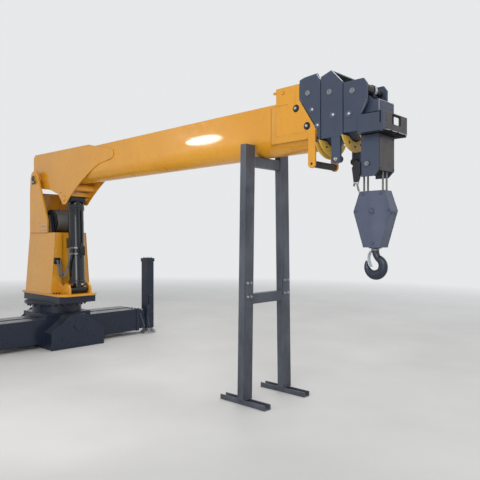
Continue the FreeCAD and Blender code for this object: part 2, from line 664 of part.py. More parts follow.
def boom_collar():
    """The raised plates round the outer section's mouth, the tie on top, and the lugs of the guide roller."""
    skirt = S.boom_bottom + S.boom_half - 10

    def collar(name, side):
        outline = [(COLLAR_BACK, skirt), (S.boom_front, skirt), (S.boom_front, SLANT_LOW),
                   (COLLAR_BREAK, SLANT_TOP), (COLLAR_BREAK, COLLAR_TOP), (COLLAR_BACK, COLLAR_TOP)]
        return plate("BaseCollar" + name, "XZ", outline, side_start(S.boom_half, S.collar_plate, side),
                     S.collar_plate)

    lug_x = S.boom_front - 45
    lugs = [lug("BaseLug" + name, S.boom_half, S.collar_plate, lug_x, S.lug_wide, skirt + 30, S.lug_hang,
                side)
            for name, side in (("Near", -1), ("Far", 1))]
    tie = box("CollarTie", (COLLAR_BACK, -S.boom_half, S.boom_top),
              (COLLAR_BACK + 60, S.boom_half, S.boom_top + S.collar_plate))
    node("boom_collar", fuse("BoomCollar", [tie] + lugs + both_sides(collar)))
    reach = S.boom_half - S.seat_gap
    node("guide_roller_base", rod("GuideRollerBase", "y", (lug_x, -reach, S.lug_hang + S.lug_wide / 2),
                                  S.roller_rad, 2 * reach))


def inner_section(label, order, outer, form, roller_at, extra=()):
    """One inner section: its tube and the ear plates that stand off it on the housings of its wear pads."""
    rear = S.inner_rear + order * S.inner_stagger
    side_wall = section_half(order)
    tube = fuse("Slide%d" % order, [section_tube("Tube%d" % order, order, rear, form["front"]),
                                    slider(order, rear)])

    def ear(name, side):
        return plate("Ear%d%s" % (order, name), "XZ", form["points"],
                     side_start(outer - S.ear_plate, S.ear_plate,
                                                                                 side), S.ear_plate)

    def housing(name, side):
        out = []
        for level, (x1, x2, z1, z2) in enumerate(form["pads"]):
            y = side_start(side_wall, outer - S.ear_plate - side_wall, side)
            out.append(box("PadHousing%d%s%d" % (order, name, level), (x1, y, z1),
                           (x2, y + outer - S.ear_plate - side_wall, z2)))
        return fuse("PadHousings%d%s" % (order, name), out)

    solid = fuse("Section%d" % order, [tube] + both_sides(ear) + both_sides(housing) + list(extra))
    if "clear" in form:
        solid = cut("SectionCut%d" % order, solid, form["clear"])
    node(label, solid)
    x, z = roller_at
    node(label + "_roller", collar_roller("CollarRoller%d" % order, x, z, order,
                                          outer - S.ear_plate - S.seat_gap))


def inner_sections():
    gap, low, top = S.run_gap, S.boom_bottom, S.boom_top
    start = COLLAR_BREAK + gap
    nose = S.boom_front + gap
    foot = low + S.wear_high + 4
    step = S.nest_step
    second = [(nose, foot), (SECOND_FRONT, foot), (SECOND_FRONT, COLLAR_TOP - 11),
              (SECOND_FRONT - 26, COLLAR_TOP + 44), (start + 40, COLLAR_TOP + 35), (start, COLLAR_TOP + 22),
              (start, SLANT_TOP), (nose, SLANT_LOW)]
    pads = [(SECOND_FRONT - 106, SECOND_FRONT - 8, top - 110, top - 40),
            (SECOND_FRONT - 23, SECOND_FRONT - 3, low + 150, low + 220)]
    inner_section("boom_second", 1, S.collar_outer, {"points": second, "front": SECOND_FRONT, "pads": pads},
                  (SECOND_FRONT - 108, top + 27))

    back = SECOND_FRONT + gap
    peak = SECOND_FRONT + 95
    foot = foot + step + gap
    third = [(back, foot), (THIRD_FRONT, foot), (THIRD_FRONT, COLLAR_TOP - 56),
             (peak, COLLAR_TOP + 41), (back, COLLAR_TOP + 11)]
    lug_x = THIRD_FRONT - 58
    hang = S.lug_hang + step
    reach = section_half(2) + step
    lugs = [lug("ThirdLug" + name, reach, S.collar_plate + 8, lug_x, S.lug_wide + 8, low + 110, hang, side)
            for name, side in (("Near", -1), ("Far", 1))]
    outer = S.collar_outer - 5
    ridge_low = COLLAR_TOP - 70
    ridge = box("Ridge", (peak - S.thin_plate, -outer + S.ear_plate, ridge_low),
                (peak, outer - S.ear_plate, COLLAR_TOP + 41 - S.thin_plate))
    pads = [(back + 12, THIRD_FRONT - 12, top - 130, top - 60),
            (back + 12, THIRD_FRONT - 12, low + 150, low + 220)]
    inner_section("boom_third", 2, outer, {"points": third, "front": THIRD_FRONT, "pads": pads},
                  (THIRD_FRONT - 108, top + 1), extra=lugs + [ridge])
    roller_z = hang + S.lug_wide / 2 + 4

    def roller(name, side):
        start = side_start(reach - S.seat_gap - S.stub_roller, S.stub_roller, side)
        return rod("ThirdRoller" + name, "y", (lug_x, start, roller_z), S.roller_rad, S.stub_roller)

    node("guide_roller_third", fuse("ThirdRollers", both_sides(roller)))

    back = THIRD_FRONT + gap
    foot = foot + step + gap
    fourth = [(back, foot), (HEAD_BACK, foot), (HEAD_BACK, low + 140),
              (FOURTH_FRONT, top - 123), (FOURTH_FRONT, COLLAR_TOP - 102),
              (FOURTH_FRONT - 26, COLLAR_TOP - 65), (back, COLLAR_TOP - 65)]
    half = S.head_half + gap
    clear = box("HeadRoom", (HEAD_BACK - gap, -half, S.head_low),
                (FOURTH_FRONT + 10, half, S.head_high + gap))
    pads = [(back + 12, HEAD_BACK - 12, top - 130, top - 60),
            (back + 12, HEAD_BACK - 12, low + 150, low + 220)]
    inner_section("boom_fourth", 3, S.collar_outer - 10, {"points": fourth, "front": HEAD_BACK - gap,
                                                          "pads": pads, "clear": [clear]},
                  (FOURTH_FRONT - 112, top - 24))
    tip_x, tip_z = FOURTH_FRONT - S.tip_x, top - S.tip_z
    wheel = sheave("TipSheave", S.tip_sheave, S.sheave_half)
    place(wheel, tip_x, 0, tip_z)
    reach = S.collar_outer - 10 - S.ear_plate - S.seat_gap
    axle = rod("TipAxle", "y", (tip_x, -reach, tip_z), S.axle_rad, 2 * reach)
    node("tip_sheave", fuse("TipSheaveSet", [wheel, axle]))
    wear_plate("wear_plate_second", 1, SECOND_FRONT)
    wear_plate("wear_plate_third", 2, THIRD_FRONT)


def sheave(name, radius, half):
    """A rope sheave about the Y axis, with a round-bottomed groove."""
    groove = S.rope_rad + S.groove_play
    outline = [(0, -half), (radius, -half), (radius, -groove), (radius, groove, -groove), (radius, half),
               (0, half)]
    return turned(name, "XY", outline, (0, 0, 0), "V_Axis")


def boom_head():
    """The innermost section and the tip box: cheeks over the lower sheaves, and the bracket in front."""
    rear = S.inner_rear + 4 * S.inner_stagger
    tube = fuse("Slide4", [section_tube("Tube4", 4, rear, HEAD_BACK + 12), slider(4, rear)])
    skin = S.head_wall
    corner = S.head_corner
    outline = [(HEAD_BACK, S.head_low), (HEAD_FRONT - corner, S.head_low),
               (HEAD_FRONT, S.head_low + corner),
               (HEAD_FRONT, S.head_high), (HEAD_BACK, S.head_high)]

    def side_plate(name, side):
        return plate("HeadSide" + name, "XZ", outline, side_start(S.head_half - skin, skin, side), skin)

    inner = S.head_half - skin
    front = box("HeadFront", (HEAD_FRONT - skin, -inner, S.head_sheave_z + S.head_sheave + 16),
                (HEAD_FRONT, inner, S.head_high))
    back = box("HeadBack", (HEAD_BACK, -inner, S.head_sheave_z + S.head_sheave + 16),
               (HEAD_BACK + skin, inner, S.head_high))
    roof = box("HeadRoof", (HEAD_BACK, -inner, S.head_high - skin), (HEAD_FRONT, inner, S.head_high))
    axle = rod("HeadAxle", "y", (HEAD_SHEAVE_X, -S.head_half - 12, S.head_sheave_z), S.axle_rad,
               2 * (S.head_half + 12))
    node("boom_head", fuse("BoomHead", [tube, front, back, roof, axle] + both_sides(side_plate)))

    wheels = []
    for name, y in (("Near", -S.fall_pitch), ("Far", S.fall_pitch)):
        wheel = sheave("HeadSheave" + name, S.head_sheave, S.sheave_half)
        place(wheel, HEAD_SHEAVE_X, y, S.head_sheave_z)
        wheels.append(wheel)
    hub = rod("HeadHub", "y", (HEAD_SHEAVE_X, -inner + 1, S.head_sheave_z), S.axle_rad + 14,
              2 * (inner - 1))
    bore = rod("HeadHubBore", "y", (HEAD_SHEAVE_X, -S.head_half, S.head_sheave_z), S.axle_rad + S.pin_gap,
               2 * S.head_half)
    node("head_sheaves", cut("HeadSheaves", fuse("HeadSheaveSet", wheels + [hub]), [bore]))

    wide = S.bracket_half
    nose = HEAD_FRONT + S.bracket_reach
    low, high = S.bracket_low, S.bracket_low + S.bracket_high
    start = HEAD_BACK + 12
    frame = box("BracketBlock", (start, -wide, low), (nose, wide, high))
    tools = [box("BracketHollow", (start - 1, skin - wide, low + skin),
                 (nose - skin, wide - skin, high + 1)),
             box("BracketHead", (start - 1, -S.head_half, low - 1), (HEAD_FRONT, S.head_half, high + 1)),
             box("BracketWindow", (nose - 2 * skin, S.window_y - S.window_half, S.window_z - S.window_high),
                 (nose + 1, S.window_y + S.window_half, S.window_z + S.window_high)),
             box("BracketSideWindow", (HEAD_FRONT - skin, wide - 2 * skin, low + 2 * skin + skin),
                 (nose - 2 * skin, wide + 1, high - skin))]
    node("jib_bracket", cut("JibBracket", frame, tools))

    outer = S.head_half
    node("wedge_socket", plate("WedgeSocket", "XZ", [(HEAD_BACK, 1762), (HEAD_BACK, 1838),
                                                     (HEAD_BACK - 40, 1846), (HEAD_BACK - 66, 1800),
                                                     (HEAD_BACK - 52, 1702), (HEAD_BACK - 22, 1700)],
                               -outer - S.head_wall, S.socket_thick))


def hook_block():
    """The block's closed shell round its sheaves, and its rope falls."""
    x = HEAD_SHEAVE_X
    skin = S.block_plate

    def six_sides(inset, low, top):
        flat, wide, foot = S.block_flat / 2 - inset, S.block_wide / 2 - inset, S.block_foot / 2 - inset
        return [(x - foot, low), (x + foot, low), (x + wide, BLOCK_MID), (x + flat, top), (x - flat, top),
                (x - wide, BLOCK_MID)]

    half = BLOCK_HALF
    outer = plate("BlockOuter", "XZ", six_sides(size(0), BLOCK_LOW, BLOCK_TOP), -half, 2 * half)
    void = plate("BlockVoid", "XZ", six_sides(skin, BLOCK_LOW + S.block_sole, BLOCK_TOP + 1), skin - half,
                 2 * (half - skin))
    axle = rod("BlockAxle", "y", (x, -half - skin, BLOCK_MID), S.axle_rad, 2 * (half + skin))
    hole = rod("SwivelHole", "z", (x, 0, BLOCK_LOW - 1), S.shank_rad + S.pin_gap, S.block_sole + 2)
    node("hook_block", cut("HookBlock", fuse("HookBlockWalls", [cut("BlockShell", outer, [void]), axle]),
                           [hole]))

    wheels = []
    for name, y in (("Near", -S.fall_pitch), ("Far", S.fall_pitch)):
        wheel = sheave("BlockSheave" + name, S.block_sheave, S.sheave_half)
        place(wheel, x, y, BLOCK_MID)
        wheels.append(wheel)
    hub = rod("BlockHub", "y", (x, skin - half + S.seat_gap, BLOCK_MID), S.axle_rad + 12,
              2 * (half - skin - S.seat_gap))
    bore = rod("BlockHubBore", "y", (x, -half, BLOCK_MID), S.axle_rad + S.pin_gap, 2 * half)
    node("block_sheaves", cut("BlockSheaves", fuse("BlockSheaveSet", wheels + [hub]), [bore]))

    falls = []
    reach = S.block_sheave - S.groove_play + S.seat_gap
    for i, (y, side) in enumerate(((-1, -1), (-1, 1), (1, -1), (1, 1))):
        falls.append(rod("Fall%d" % i, "z", (x + side * reach, y * S.fall_pitch, BLOCK_MID),
                         S.rope_rad, S.head_sheave_z - BLOCK_MID))
    node("hoist_falls", fuse("HoistFalls", falls))


# The hook's stations round its bowl: angle from +X in degrees, share of the bowl's radius, and the share of
# the full bulk in the plane of the hook and across it.
HOOK_STATIONS = [(66, 1.00, 0.80, 0.80), (38, 1.00, 0.92, 0.84), (5, 1.00, 1.05, 0.88),
                 (-35, 1.00, 1.12, 0.88),
                 (-80, 1.00, 1.12, 0.86), (-125, 1.02, 0.96, 0.80), (-165, 1.08, 0.70, 0.66),
                 (-192, 1.16, 0.46, 0.46), (-208, 1.24, 0.29, 0.29)]


def hook():
    """The forged swivel hook: oval stations lofted round the bowl, a neck, and the shank with its nut."""
    x, z = HEAD_SHEAVE_X, BLOCK_LOW - S.hook_drop

    def station(name, across, up, lean, thick, wide):
        """An oval across the hook's middle line, which there turns lean degrees from upright."""
        oval = doc.addObject("Part::Ellipse", name)
        in_plane = thick.value >= wide.value
        bind(oval, "MajorRadius", thick if in_plane else wide)
        bind(oval, "MinorRadius", wide if in_plane else thick)
        radial = V(math.cos(math.radians(lean)), 0, math.sin(math.radians(lean)))
        first, second = (radial, V(0, 1, 0)) if in_plane else (V(0, 1, 0), radial)
        turn = FreeCAD.Rotation(first, second, first.cross(second), "XYZ")
        oval.Placement = FreeCAD.Placement(V(0, 0, 0), turn)
        for path, number in (("x", x + across), ("y", 0), ("z", z + up)):
            bind(oval, "Placement.Base." + path, number)
        return oval

    ovals = []
    for i, (degrees, share, thick, wide) in enumerate(HOOK_STATIONS):
        angle = math.radians(degrees)
        ovals.append(station("HookOval%d" % i, S.hook_bow * (share * math.cos(angle)),
                             S.hook_bow * (share * math.sin(angle)), degrees, S.hook_bulk * thick,
                             S.hook_bulk * wide))
    bowl = doc.addObject("Part::Loft", "HookBowl")
    bowl.Sections = ovals
    bowl.Solid = True
    first = HOOK_STATIONS[0]
    start = math.radians(first[0])
    neck_top = station("HookNeckTop", size(0), S.hook_drop - S.hook_tip, 0, S.shank_rad, S.shank_rad)
    neck_mid = station("HookNeckMid", S.hook_bow * (0.3 * math.cos(start)), S.hook_bow * 1.38, 30,
                       S.hook_bulk * 0.78, S.hook_bulk * 0.78)
    neck_low = station("HookNeckLow", S.hook_bow * math.cos(start), S.hook_bow * math.sin(start), first[0],
                       S.hook_bulk * first[2], S.hook_bulk * first[3])
    neck = doc.addObject("Part::Loft", "HookNeck")
    neck.Sections = [neck_top, neck_mid, neck_low]
    neck.Solid = True
    shank = rod("HookShank", "z", (x, 0, BLOCK_LOW - S.hook_tip), S.shank_rad,
                S.hook_tip + S.block_sole + 26)
    nut = rod("HookNut", "z", (x, 0, BLOCK_LOW + S.block_sole + S.seat_gap), S.shank_rad + 8, 24)
    node("hook", fuse("Hook", [shank, nut, neck, bowl]))


def trestle():
    """The steel trestle: two leaning channel legs on flat feet, and two cross bars under the boom."""
    x = S.stand_x
    deep = S.stand_deep
    foot = S.stand_foot_high
    wall = S.stand_wall

    def leg(name, side):
        def outline(inset):
            inner_low, inner_top = S.stand_floor_half + inset, S.stand_top_half + inset
            wide = S.stand_leg - 2 * inset
            points = [(inner_low, foot), (inner_low + wide, foot), (inner_top + wide, S.stand_top),
                      (inner_top, S.stand_top)]
            return [(side * size(a), b) for a, b in points][::side]
        solid = plate("StandLeg" + name, "YZ", outline(size(0)), x - deep / 2, deep)
        groove = plate("StandGroove" + name, "YZ", outline(wall), x - deep / 2 - 1, deep - wall + 1)
        y = side_start(S.stand_floor_half + 19, S.stand_foot_wide, side)
        half = S.stand_foot / 2
        slab = box("StandFootBar" + name, (x - half, y, 0), (x + half, y + S.stand_foot_wide, foot))
        tray = box("StandFootTray" + name, (x - half - 1, y + wall, wall),
                   (x + half + 1, y + S.stand_foot_wide - wall, foot + 1))
        base = cut("StandFoot" + name, slab, [tray])
        node("stand_leg_" + name.lower(), fuse("StandSide" + name,
                                               [cut("StandChannel" + name, solid, [groove]),
                                                                   base]))

    both_sides(leg)
    rise = S.stand_top - foot
    for label, top in (("stand_bar_top", S.boom_bottom - S.seat_gap), ("stand_bar_middle", S.stand_mid)):
        def inner(height):
            return S.stand_floor_half - (S.stand_floor_half - S.stand_top_half) * (height - foot) / rise
        low = top - S.stand_bar
        outline = [(-inner(low), low), (inner(low), low), (inner(top), top), (-inner(top), top)]
        node(label, plate("Bar" + label, "YZ", outline, x - deep / 2, deep))


def check_and_export():
    """Stop on any failed object, then write each sub-part to its own STEP file."""
    for thing in doc.Objects:
        if "Invalid" in thing.State or "Error" in thing.State:
            raise RuntimeError("%s did not compute: %s" % (thing.Name, thing.State))
    os.makedirs("parts", exist_ok=True)
    for thing in NODES:
        if thing.Shape.isNull() or not thing.Shape.isValid():
            raise RuntimeError("%s has no valid shape" % thing.Label)
        thing.Shape.exportStep("parts/%s.step" % thing.Label)
        print(thing.Label, len(thing.Shape.Solids), "%.3f dm3" % (thing.Shape.Volume / 1e6))


base_frame()
outrigger("far", 1, S.rigger_front - S.rigger_deep)
outrigger("near", -1, S.rigger_rear)
slewing_parts()
winch()
ram()
boom_base()
boom_cheeks()
boom_collar()
inner_sections()
boom_head()
hook_block()
hook()
trestle()
doc.recompute()
check_and_export()
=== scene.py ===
# Looks for the telescopic crane unit: procedural paint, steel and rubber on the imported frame, with bolts,
# weld beads, rope, hoses and the bracket's walls added as pieces.
# Camera, lamps and textures are in metres. Pieces and their places are in millimetres.
import json
import math
import random

import bmesh
import bpy
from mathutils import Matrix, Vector


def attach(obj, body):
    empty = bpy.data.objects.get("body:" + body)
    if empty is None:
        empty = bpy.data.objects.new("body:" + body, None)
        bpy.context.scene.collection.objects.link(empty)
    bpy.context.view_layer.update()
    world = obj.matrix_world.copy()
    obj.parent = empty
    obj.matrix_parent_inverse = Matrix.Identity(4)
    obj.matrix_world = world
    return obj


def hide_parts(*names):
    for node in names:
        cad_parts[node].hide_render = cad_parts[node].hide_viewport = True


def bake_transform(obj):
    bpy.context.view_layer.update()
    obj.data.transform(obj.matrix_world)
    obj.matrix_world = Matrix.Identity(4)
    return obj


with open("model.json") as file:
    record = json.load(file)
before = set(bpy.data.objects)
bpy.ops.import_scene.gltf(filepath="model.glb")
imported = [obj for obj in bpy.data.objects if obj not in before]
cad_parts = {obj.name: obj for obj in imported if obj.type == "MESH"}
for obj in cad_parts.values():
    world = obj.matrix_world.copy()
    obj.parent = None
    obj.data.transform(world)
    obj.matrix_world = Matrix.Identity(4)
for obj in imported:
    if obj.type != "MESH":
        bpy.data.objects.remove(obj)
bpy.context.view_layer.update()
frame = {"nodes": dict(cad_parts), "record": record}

# The camera stands level at a person's eye height beside the boom's tip.
CAMERA_PLACE = (6.435, -3.342, 1.300)
CAMERA_TURN = math.radians(43.66)
CAMERA_LENS_MM = 40.08
SENSOR_MM = 36.0
FAR_CLIP = 200


def set_camera():
    data = bpy.data.cameras.new("camera")
    data.lens = CAMERA_LENS_MM
    data.sensor_width = SENSOR_MM
    data.clip_end = FAR_CLIP
    camera = bpy.data.objects.new("camera", data)
    camera.location = CAMERA_PLACE
    camera.rotation_euler = (math.pi / 2, 0, CAMERA_TURN)
    bpy.context.collection.objects.link(camera)
    bpy.context.scene.camera = camera


def linear(step):
    """One part of a screen colour, 0 to 255, as a linear value."""
    part = step / 255
    return part / 12.92 if part <= 0.04045 else ((part + 0.055) / 1.055) ** 2.4


def shade(colour, factor):
    """A screen colour made darker or lighter."""
    return tuple(min(255, factor * step) for step in colour)


# Sockets of the mix node that belong to its colour mode.
MIX_FIRST = 6
MIX_SECOND = 7
MIX_RESULT = 2
# How far a rounded normal leans away from the true one where an edge begins to show and where it is full.
EDGE_BEGINS = 0.985
EDGE_FULL = 0.80


class Nodes:
    """A short way to write one material's node tree."""

    def __init__(self, name):
        self.material = bpy.data.materials.new(name)
        self.material.use_nodes = True
        self.tree = self.material.node_tree
        self.shader = self.tree.nodes["Principled BSDF"]
        self.place = self.tree.nodes.new("ShaderNodeTexCoord").outputs["Object"]

    def feed(self, socket, value):
        """Link a node's output to the socket, or set its own value; a screen colour becomes linear."""
        if isinstance(value, bpy.types.NodeSocket):
            self.tree.links.new(value, socket)
        elif socket.type == "RGBA" and len(value) == 3:
            socket.default_value = (*map(linear, value), 1.0)
        else:
            socket.default_value = value

    def add(self, kind, inputs=None, **props):
        made = self.tree.nodes.new("ShaderNode" + kind)
        for key, value in props.items():
            setattr(made, key, value)
        for key, value in (inputs or {}).items():
            self.feed(made.inputs[key], value)
        return made

    def noise(self, scale, detail=4, rough=0.55, stretch=None):
        place = self.place
        if stretch:
            place = self.add("Mapping", {"Vector": place, "Scale": stretch}).outputs["Vector"]
        inputs = {"Vector": place, "Scale": scale, "Detail": detail, "Roughness": rough}
        return self.add("TexNoise", inputs).outputs["Fac"]

    def ramp(self, value, low, high, low_to=0.0, high_to=1.0):
        inputs = {"Value": value, "From Min": low, "From Max": high, "To Min": low_to, "To Max": high_to}
        return self.add("MapRange", inputs).outputs["Result"]

    def patches(self, scale, detail, low, high, rough=0.55, stretch=None):
        """Noise cut to soft patches: 0 below low and 1 above high."""
        return self.ramp(self.noise(scale, detail, rough, stretch), low, high)

    def mix(self, share, first, second):
        made = self.add("Mix", {"Factor": share}, data_type="RGBA")
        self.feed(made.inputs[MIX_FIRST], first)
        self.feed(made.inputs[MIX_SECOND], second)
        return made.outputs[MIX_RESULT]

    def maths(self, operation, first, second):
        return self.add("Math", {0: first, 1: second}, operation=operation).outputs[0]

    def times(self, first, second):
        return self.maths("MULTIPLY", first, second)

    def edges(self, radius):
        """1 on sharp edges and 0 on flats, from the difference between the true and a rounded normal."""
        bevel = self.add("Bevel", {"Radius": radius}, samples=4)
        plain = self.add("NewGeometry").outputs["Normal"]
        dot = self.add("VectorMath", {0: bevel.outputs["Normal"], 1: plain}, operation="DOT_PRODUCT")
        return self.ramp(dot.outputs["Value"], EDGE_BEGINS, EDGE_FULL), bevel.outputs["Normal"]

    def part_of(self, vector, axis):
        return self.add("SeparateXYZ", {"Vector": vector}).outputs[axis]

    def bump(self, height, strength, distance, normal=None):
        inputs = {"Height": height, "Strength": strength, "Distance": distance}
        if normal is not None:
            inputs["Normal"] = normal
        return self.add("Bump", inputs).outputs["Normal"]

    def finish(self, colour, rough, normal, metallic=0.0, coat=0.0, shine=0.5):
        values = {"Base Color": colour, "Roughness": rough, "Normal": normal, "Metallic": metallic,
                  "Coat Weight": coat, "Specular IOR Level": shine, "Coat Roughness": 0.05}
        for key, value in values.items():
            self.feed(self.shader.inputs[key], value)
        return self.material


DUST = (168, 160, 146)


def paint(name, base, dark, gloss, coat, dust, chips, primer, shine):
    """Sprayed paint: slow colour change, orange peel, dust on what faces up, and edges worn to primer."""
    n = Nodes(name)
    colour = n.mix(n.times(n.patches(1.6, 3, 0.35, 0.7), 0.55), base, dark)
    streak = n.patches(5.0, 6, 0.56, 0.78, 0.65, (3.0, 3.0, 0.35))
    colour = n.mix(n.times(streak, 0.22), colour, shade(dark, 0.62))
    edge, soft_normal = n.edges(0.006)
    grit = n.patches(60, 5, 0.52, 0.62, 0.7)
    colour = n.mix(n.times(n.times(edge, grit), chips), colour, primer)
    plain = n.add("NewGeometry").outputs["Normal"]
    up = n.ramp(n.part_of(plain, "Z"), 0.5, 0.98)
    dusty = n.times(n.times(up, n.patches(9, 5, 0.3, 0.75)), dust)
    colour = n.mix(dusty, colour, DUST)
    uneven = n.ramp(n.noise(14, 5), 0.3, 0.75, gloss * 0.75, gloss * 1.5)
    rough = n.maths("ADD", uneven, n.times(dusty, 0.6))
    return n.finish(colour, rough, n.bump(n.noise(240, 2), 0.10, 0.0006, soft_normal), 0.0, coat, shine)


def steel(name, base, rough, stain, metallic):
    """Bare or plated steel: stains, a fine grain along one way, and rubbed edges."""
    n = Nodes(name)
    mark = n.patches(7, 6, 0.4, 0.75, 0.7)
    colour = n.mix(n.times(mark, stain), base, shade(base, 0.5))
    grain = n.noise(30, 4, 0.6, (40.0, 40.0, 4.0))
    edge, soft_normal = n.edges(0.002)
    colour = n.mix(n.times(edge, 0.4), colour, shade(base, 1.25))
    normal = n.bump(grain, 0.12, 0.0004, soft_normal)
    return n.finish(colour, n.ramp(mark, 0, 1, rough, rough + 0.25), normal, metallic)


def stand_steel(name):
    """Hot-rolled channel under thin grey primer, with scale, rust freckles and rubbed edges."""
    n = Nodes(name)
    cloud = n.patches(4.5, 6, 0.32, 0.72, 0.62, (1.0, 1.0, 0.4))
    colour = n.mix(cloud, (64, 68, 76), (99, 104, 114))
    colour = n.mix(n.times(n.patches(2.2, 5, 0.58, 0.7, 0.6), 0.5), colour, (48, 51, 57))
    colour = n.mix(n.times(n.patches(18, 8, 0.64, 0.74, 0.75), 0.45), colour, (92, 72, 58))
    edge, soft_normal = n.edges(0.005)
    colour = n.mix(n.times(edge, 0.5), colour, (128, 130, 136))
    normal = n.bump(n.noise(90, 5, 0.7), 0.25, 0.0008, soft_normal)
    return n.finish(colour, n.ramp(cloud, 0, 1, 0.55, 0.38), normal, 0.45)


def rubber(name, base, rough):
    n = Nodes(name)
    colour = n.mix(n.patches(12, 5, 0.35, 0.7), base, shade(base, 1.7))
    return n.finish(colour, n.ramp(n.noise(30, 4), 0.3, 0.7, rough - 0.1, rough + 0.15),
                    n.bump(n.noise(180, 3), 0.2, 0.0006))


def wire(name):
    n = Nodes(name)
    strands = n.add("TexWave", {"Vector": n.place, "Scale": 55.0, "Distortion": 1.5},
                    bands_direction="DIAGONAL").outputs["Fac"]
    colour = n.mix(strands, (58, 56, 54), (142, 140, 136))
    return n.finish(colour, 0.45, n.bump(strands, 0.6, 0.001), 0.7)


# Height over which the cylinder rod's chrome gives way to the paint of its eye.
ROD_CHROME_TOP = 1.730
ROD_PAINT_LOW = 1.736


def rod_finish(name):
    """Chrome on the rod's shaft, and paint on the eye at its top."""
    n = Nodes(name)
    painted = n.ramp(n.part_of(n.place, "Z"), ROD_CHROME_TOP, ROD_PAINT_LOW)
    shaft = n.mix(n.patches(14, 5, 0.35, 0.75, 0.6, (1.0, 1.0, 0.2)), (198, 202, 208), (168, 172, 180))
    eye = n.mix(n.patches(9, 5, 0.4, 0.7), (24, 28, 38), (16, 19, 27))
    colour = n.mix(painted, shaft, eye)
    edge, soft_normal = n.edges(0.004)
    colour = n.mix(n.times(edge, n.times(painted, 0.35)), colour, (110, 114, 120))
    rough = n.maths("ADD", n.ramp(n.noise(24, 4), 0.3, 0.7, 0.07, 0.16), n.times(painted, 0.2))
    material = n.finish(colour, rough, n.bump(n.noise(150, 3), 0.06, 0.0003, soft_normal))
    n.feed(n.shader.inputs["Metallic"], n.ramp(painted, 0.0, 1.0, 0.95, 0.0))
    return material


# Paints: colour, darker colour, gloss, coat, dust, chips, the primer that chips show, and shine.
PAINTS = {
    "yellow_paint": ((219, 154, 36), (201, 134, 25), 0.3, 0.5, 0.1, 0.3, (150, 105, 40), 0.35),
    "mustard_paint": ((226, 186, 84), (196, 156, 60), 0.4, 0.1, 0.05, 0.4, (120, 116, 108), 0.35),
    "navy_paint": ((33, 42, 60), (26, 33, 48), 0.28, 0.15, 0.2, 0.5, (84, 88, 98), 0.3),
    "slate_paint": ((63, 72, 90), (54, 62, 78), 0.34, 0.1, 0.15, 0.5, (116, 122, 134), 0.3),
    "block_paint": ((80, 88, 108), (70, 77, 96), 0.34, 0.1, 0.15, 0.5, (136, 142, 154), 0.35),
    "cover_paint": ((70, 65, 65), (60, 55, 54), 0.36, 0.05, 0.1, 0.3, (104, 98, 94), 0.3),
    # Pale edge paint: partly paint worn off the edges, partly painted highlight where the edges catch the
    # light.
    "edge_wear_and_highlight": ((206, 211, 219), (168, 174, 184), 0.4, 0.0, 0.0, 0.2, (120, 124, 132), 0.35),
    "black_paint": ((26, 28, 33), (18, 19, 23), 0.34, 0.1, 0.15, 0.4, (74, 76, 80), 0.3),
    "shadow_paint": ((20, 20, 22), (15, 15, 17), 0.6, 0.0, 0.05, 0.2, (60, 60, 62), 0.1),
    "ram_paint": ((15, 18, 26), (10, 12, 18), 0.07, 0.4, 0.03, 0.2, (84, 88, 98), 0.35),
}
# Steels: colour, roughness, share of stain, and how metallic they look.
STEELS = {
    "steel": ((164, 166, 169), 0.35, 0.35, 0.9),
    "dull_steel": ((128, 131, 135), 0.42, 0.4, 0.55),
    "bolt_steel": ((190, 191, 191), 0.25, 0.25, 0.9),
    "forged_steel": ((46, 53, 68), 0.26, 0.5, 0.35),
    "latch_zinc": ((190, 197, 208), 0.4, 0.3, 0.5),
}
FINISHES = {name: paint(name, *row) for name, row in PAINTS.items()}
FINISHES.update({name: steel(name, *row) for name, row in STEELS.items()})
FINISHES["black_rubber"] = rubber("black_rubber", (26, 27, 30), 0.6)
FINISHES["hose_rubber"] = rubber("hose_rubber", (66, 68, 71), 0.5)
FINISHES["wire_rope"] = wire("wire_rope")
FINISHES["grey_steel"] = stand_steel("grey_steel")
FINISHES["rod_finish"] = rod_finish("rod_finish")
# CAD nodes whose finish differs from their record's slot.
OWN_FINISH = {"ram_rod": "rod_finish", "hook_block": "block_paint"}
# The record's slot under which a finish is listed, where the two differ.
SLOTS = {"bolt_steel": "steel", "latch_zinc": "steel", "dull_steel": "steel",
         "block_paint": "slate_paint", "cover_paint": "slate_paint", "edge_wear_and_highlight": "slate_paint",
         "hose_rubber": "black_rubber", "shadow_paint": "black_paint"}


def dress_nodes():
    slot_of = {row["node"]: row["material_slot"] for row in frame["record"]["subparts"]}
    for name, thing in frame["nodes"].items():
        for slot in thing.material_slots:
            slot.material = FINISHES[OWN_FINISH.get(name, slot_of[name])]


MM = 0.001
UP = (0, 0, 1)
DOWN = (0, 0, -1)
FORWARD = (1, 0, 0)
BACKWARD = (-1, 0, 0)
NEAR = (0, -1, 0)
FAR = (0, 1, 0)
SIDES = (-1, 1)
FACES = ((-1, NEAR), (1, FAR))
# Corners closer than this, in metres, are joined, and creases sharper than this, in degrees, stay sharp.
JOIN_DISTANCE = 0.00001
SHARP_CREASE = 38
# A hex head's width over its corners against that over its flats.
HEX_CORNERS = 1.155
# How much a weld bead's girth waves, and its sides.
WELD_RIPPLE = 0.16
WELD_STEPS = 6


def course(points, fine):
    """A rounded line through the points."""
    places = [Vector(point) for point in points]
    if fine < 2:
        return places
    ends = [places[0] * 2 - places[1]] + places + [places[-1] * 2 - places[-2]]
    out = []
    for a, b, c, d in zip(ends, ends[1:], ends[2:], ends[3:]):
        for i in range(fine):
            t = i / fine
            out.append(0.5 * (2 * b + (c - a) * t + (2 * a - 5 * b + 4 * c - d) * t * t
                              + (3 * b - 3 * c + d - a) * t ** 3))
    return out + [places[-1]]


def circle(count, radius, start=0.0):
    """Points spread evenly on a circle; start is the first one's angle."""
    turns = [start + 2 * math.pi * i / count for i in range(count)]
    return [(radius * math.cos(turn), radius * math.sin(turn)) for turn in turns]


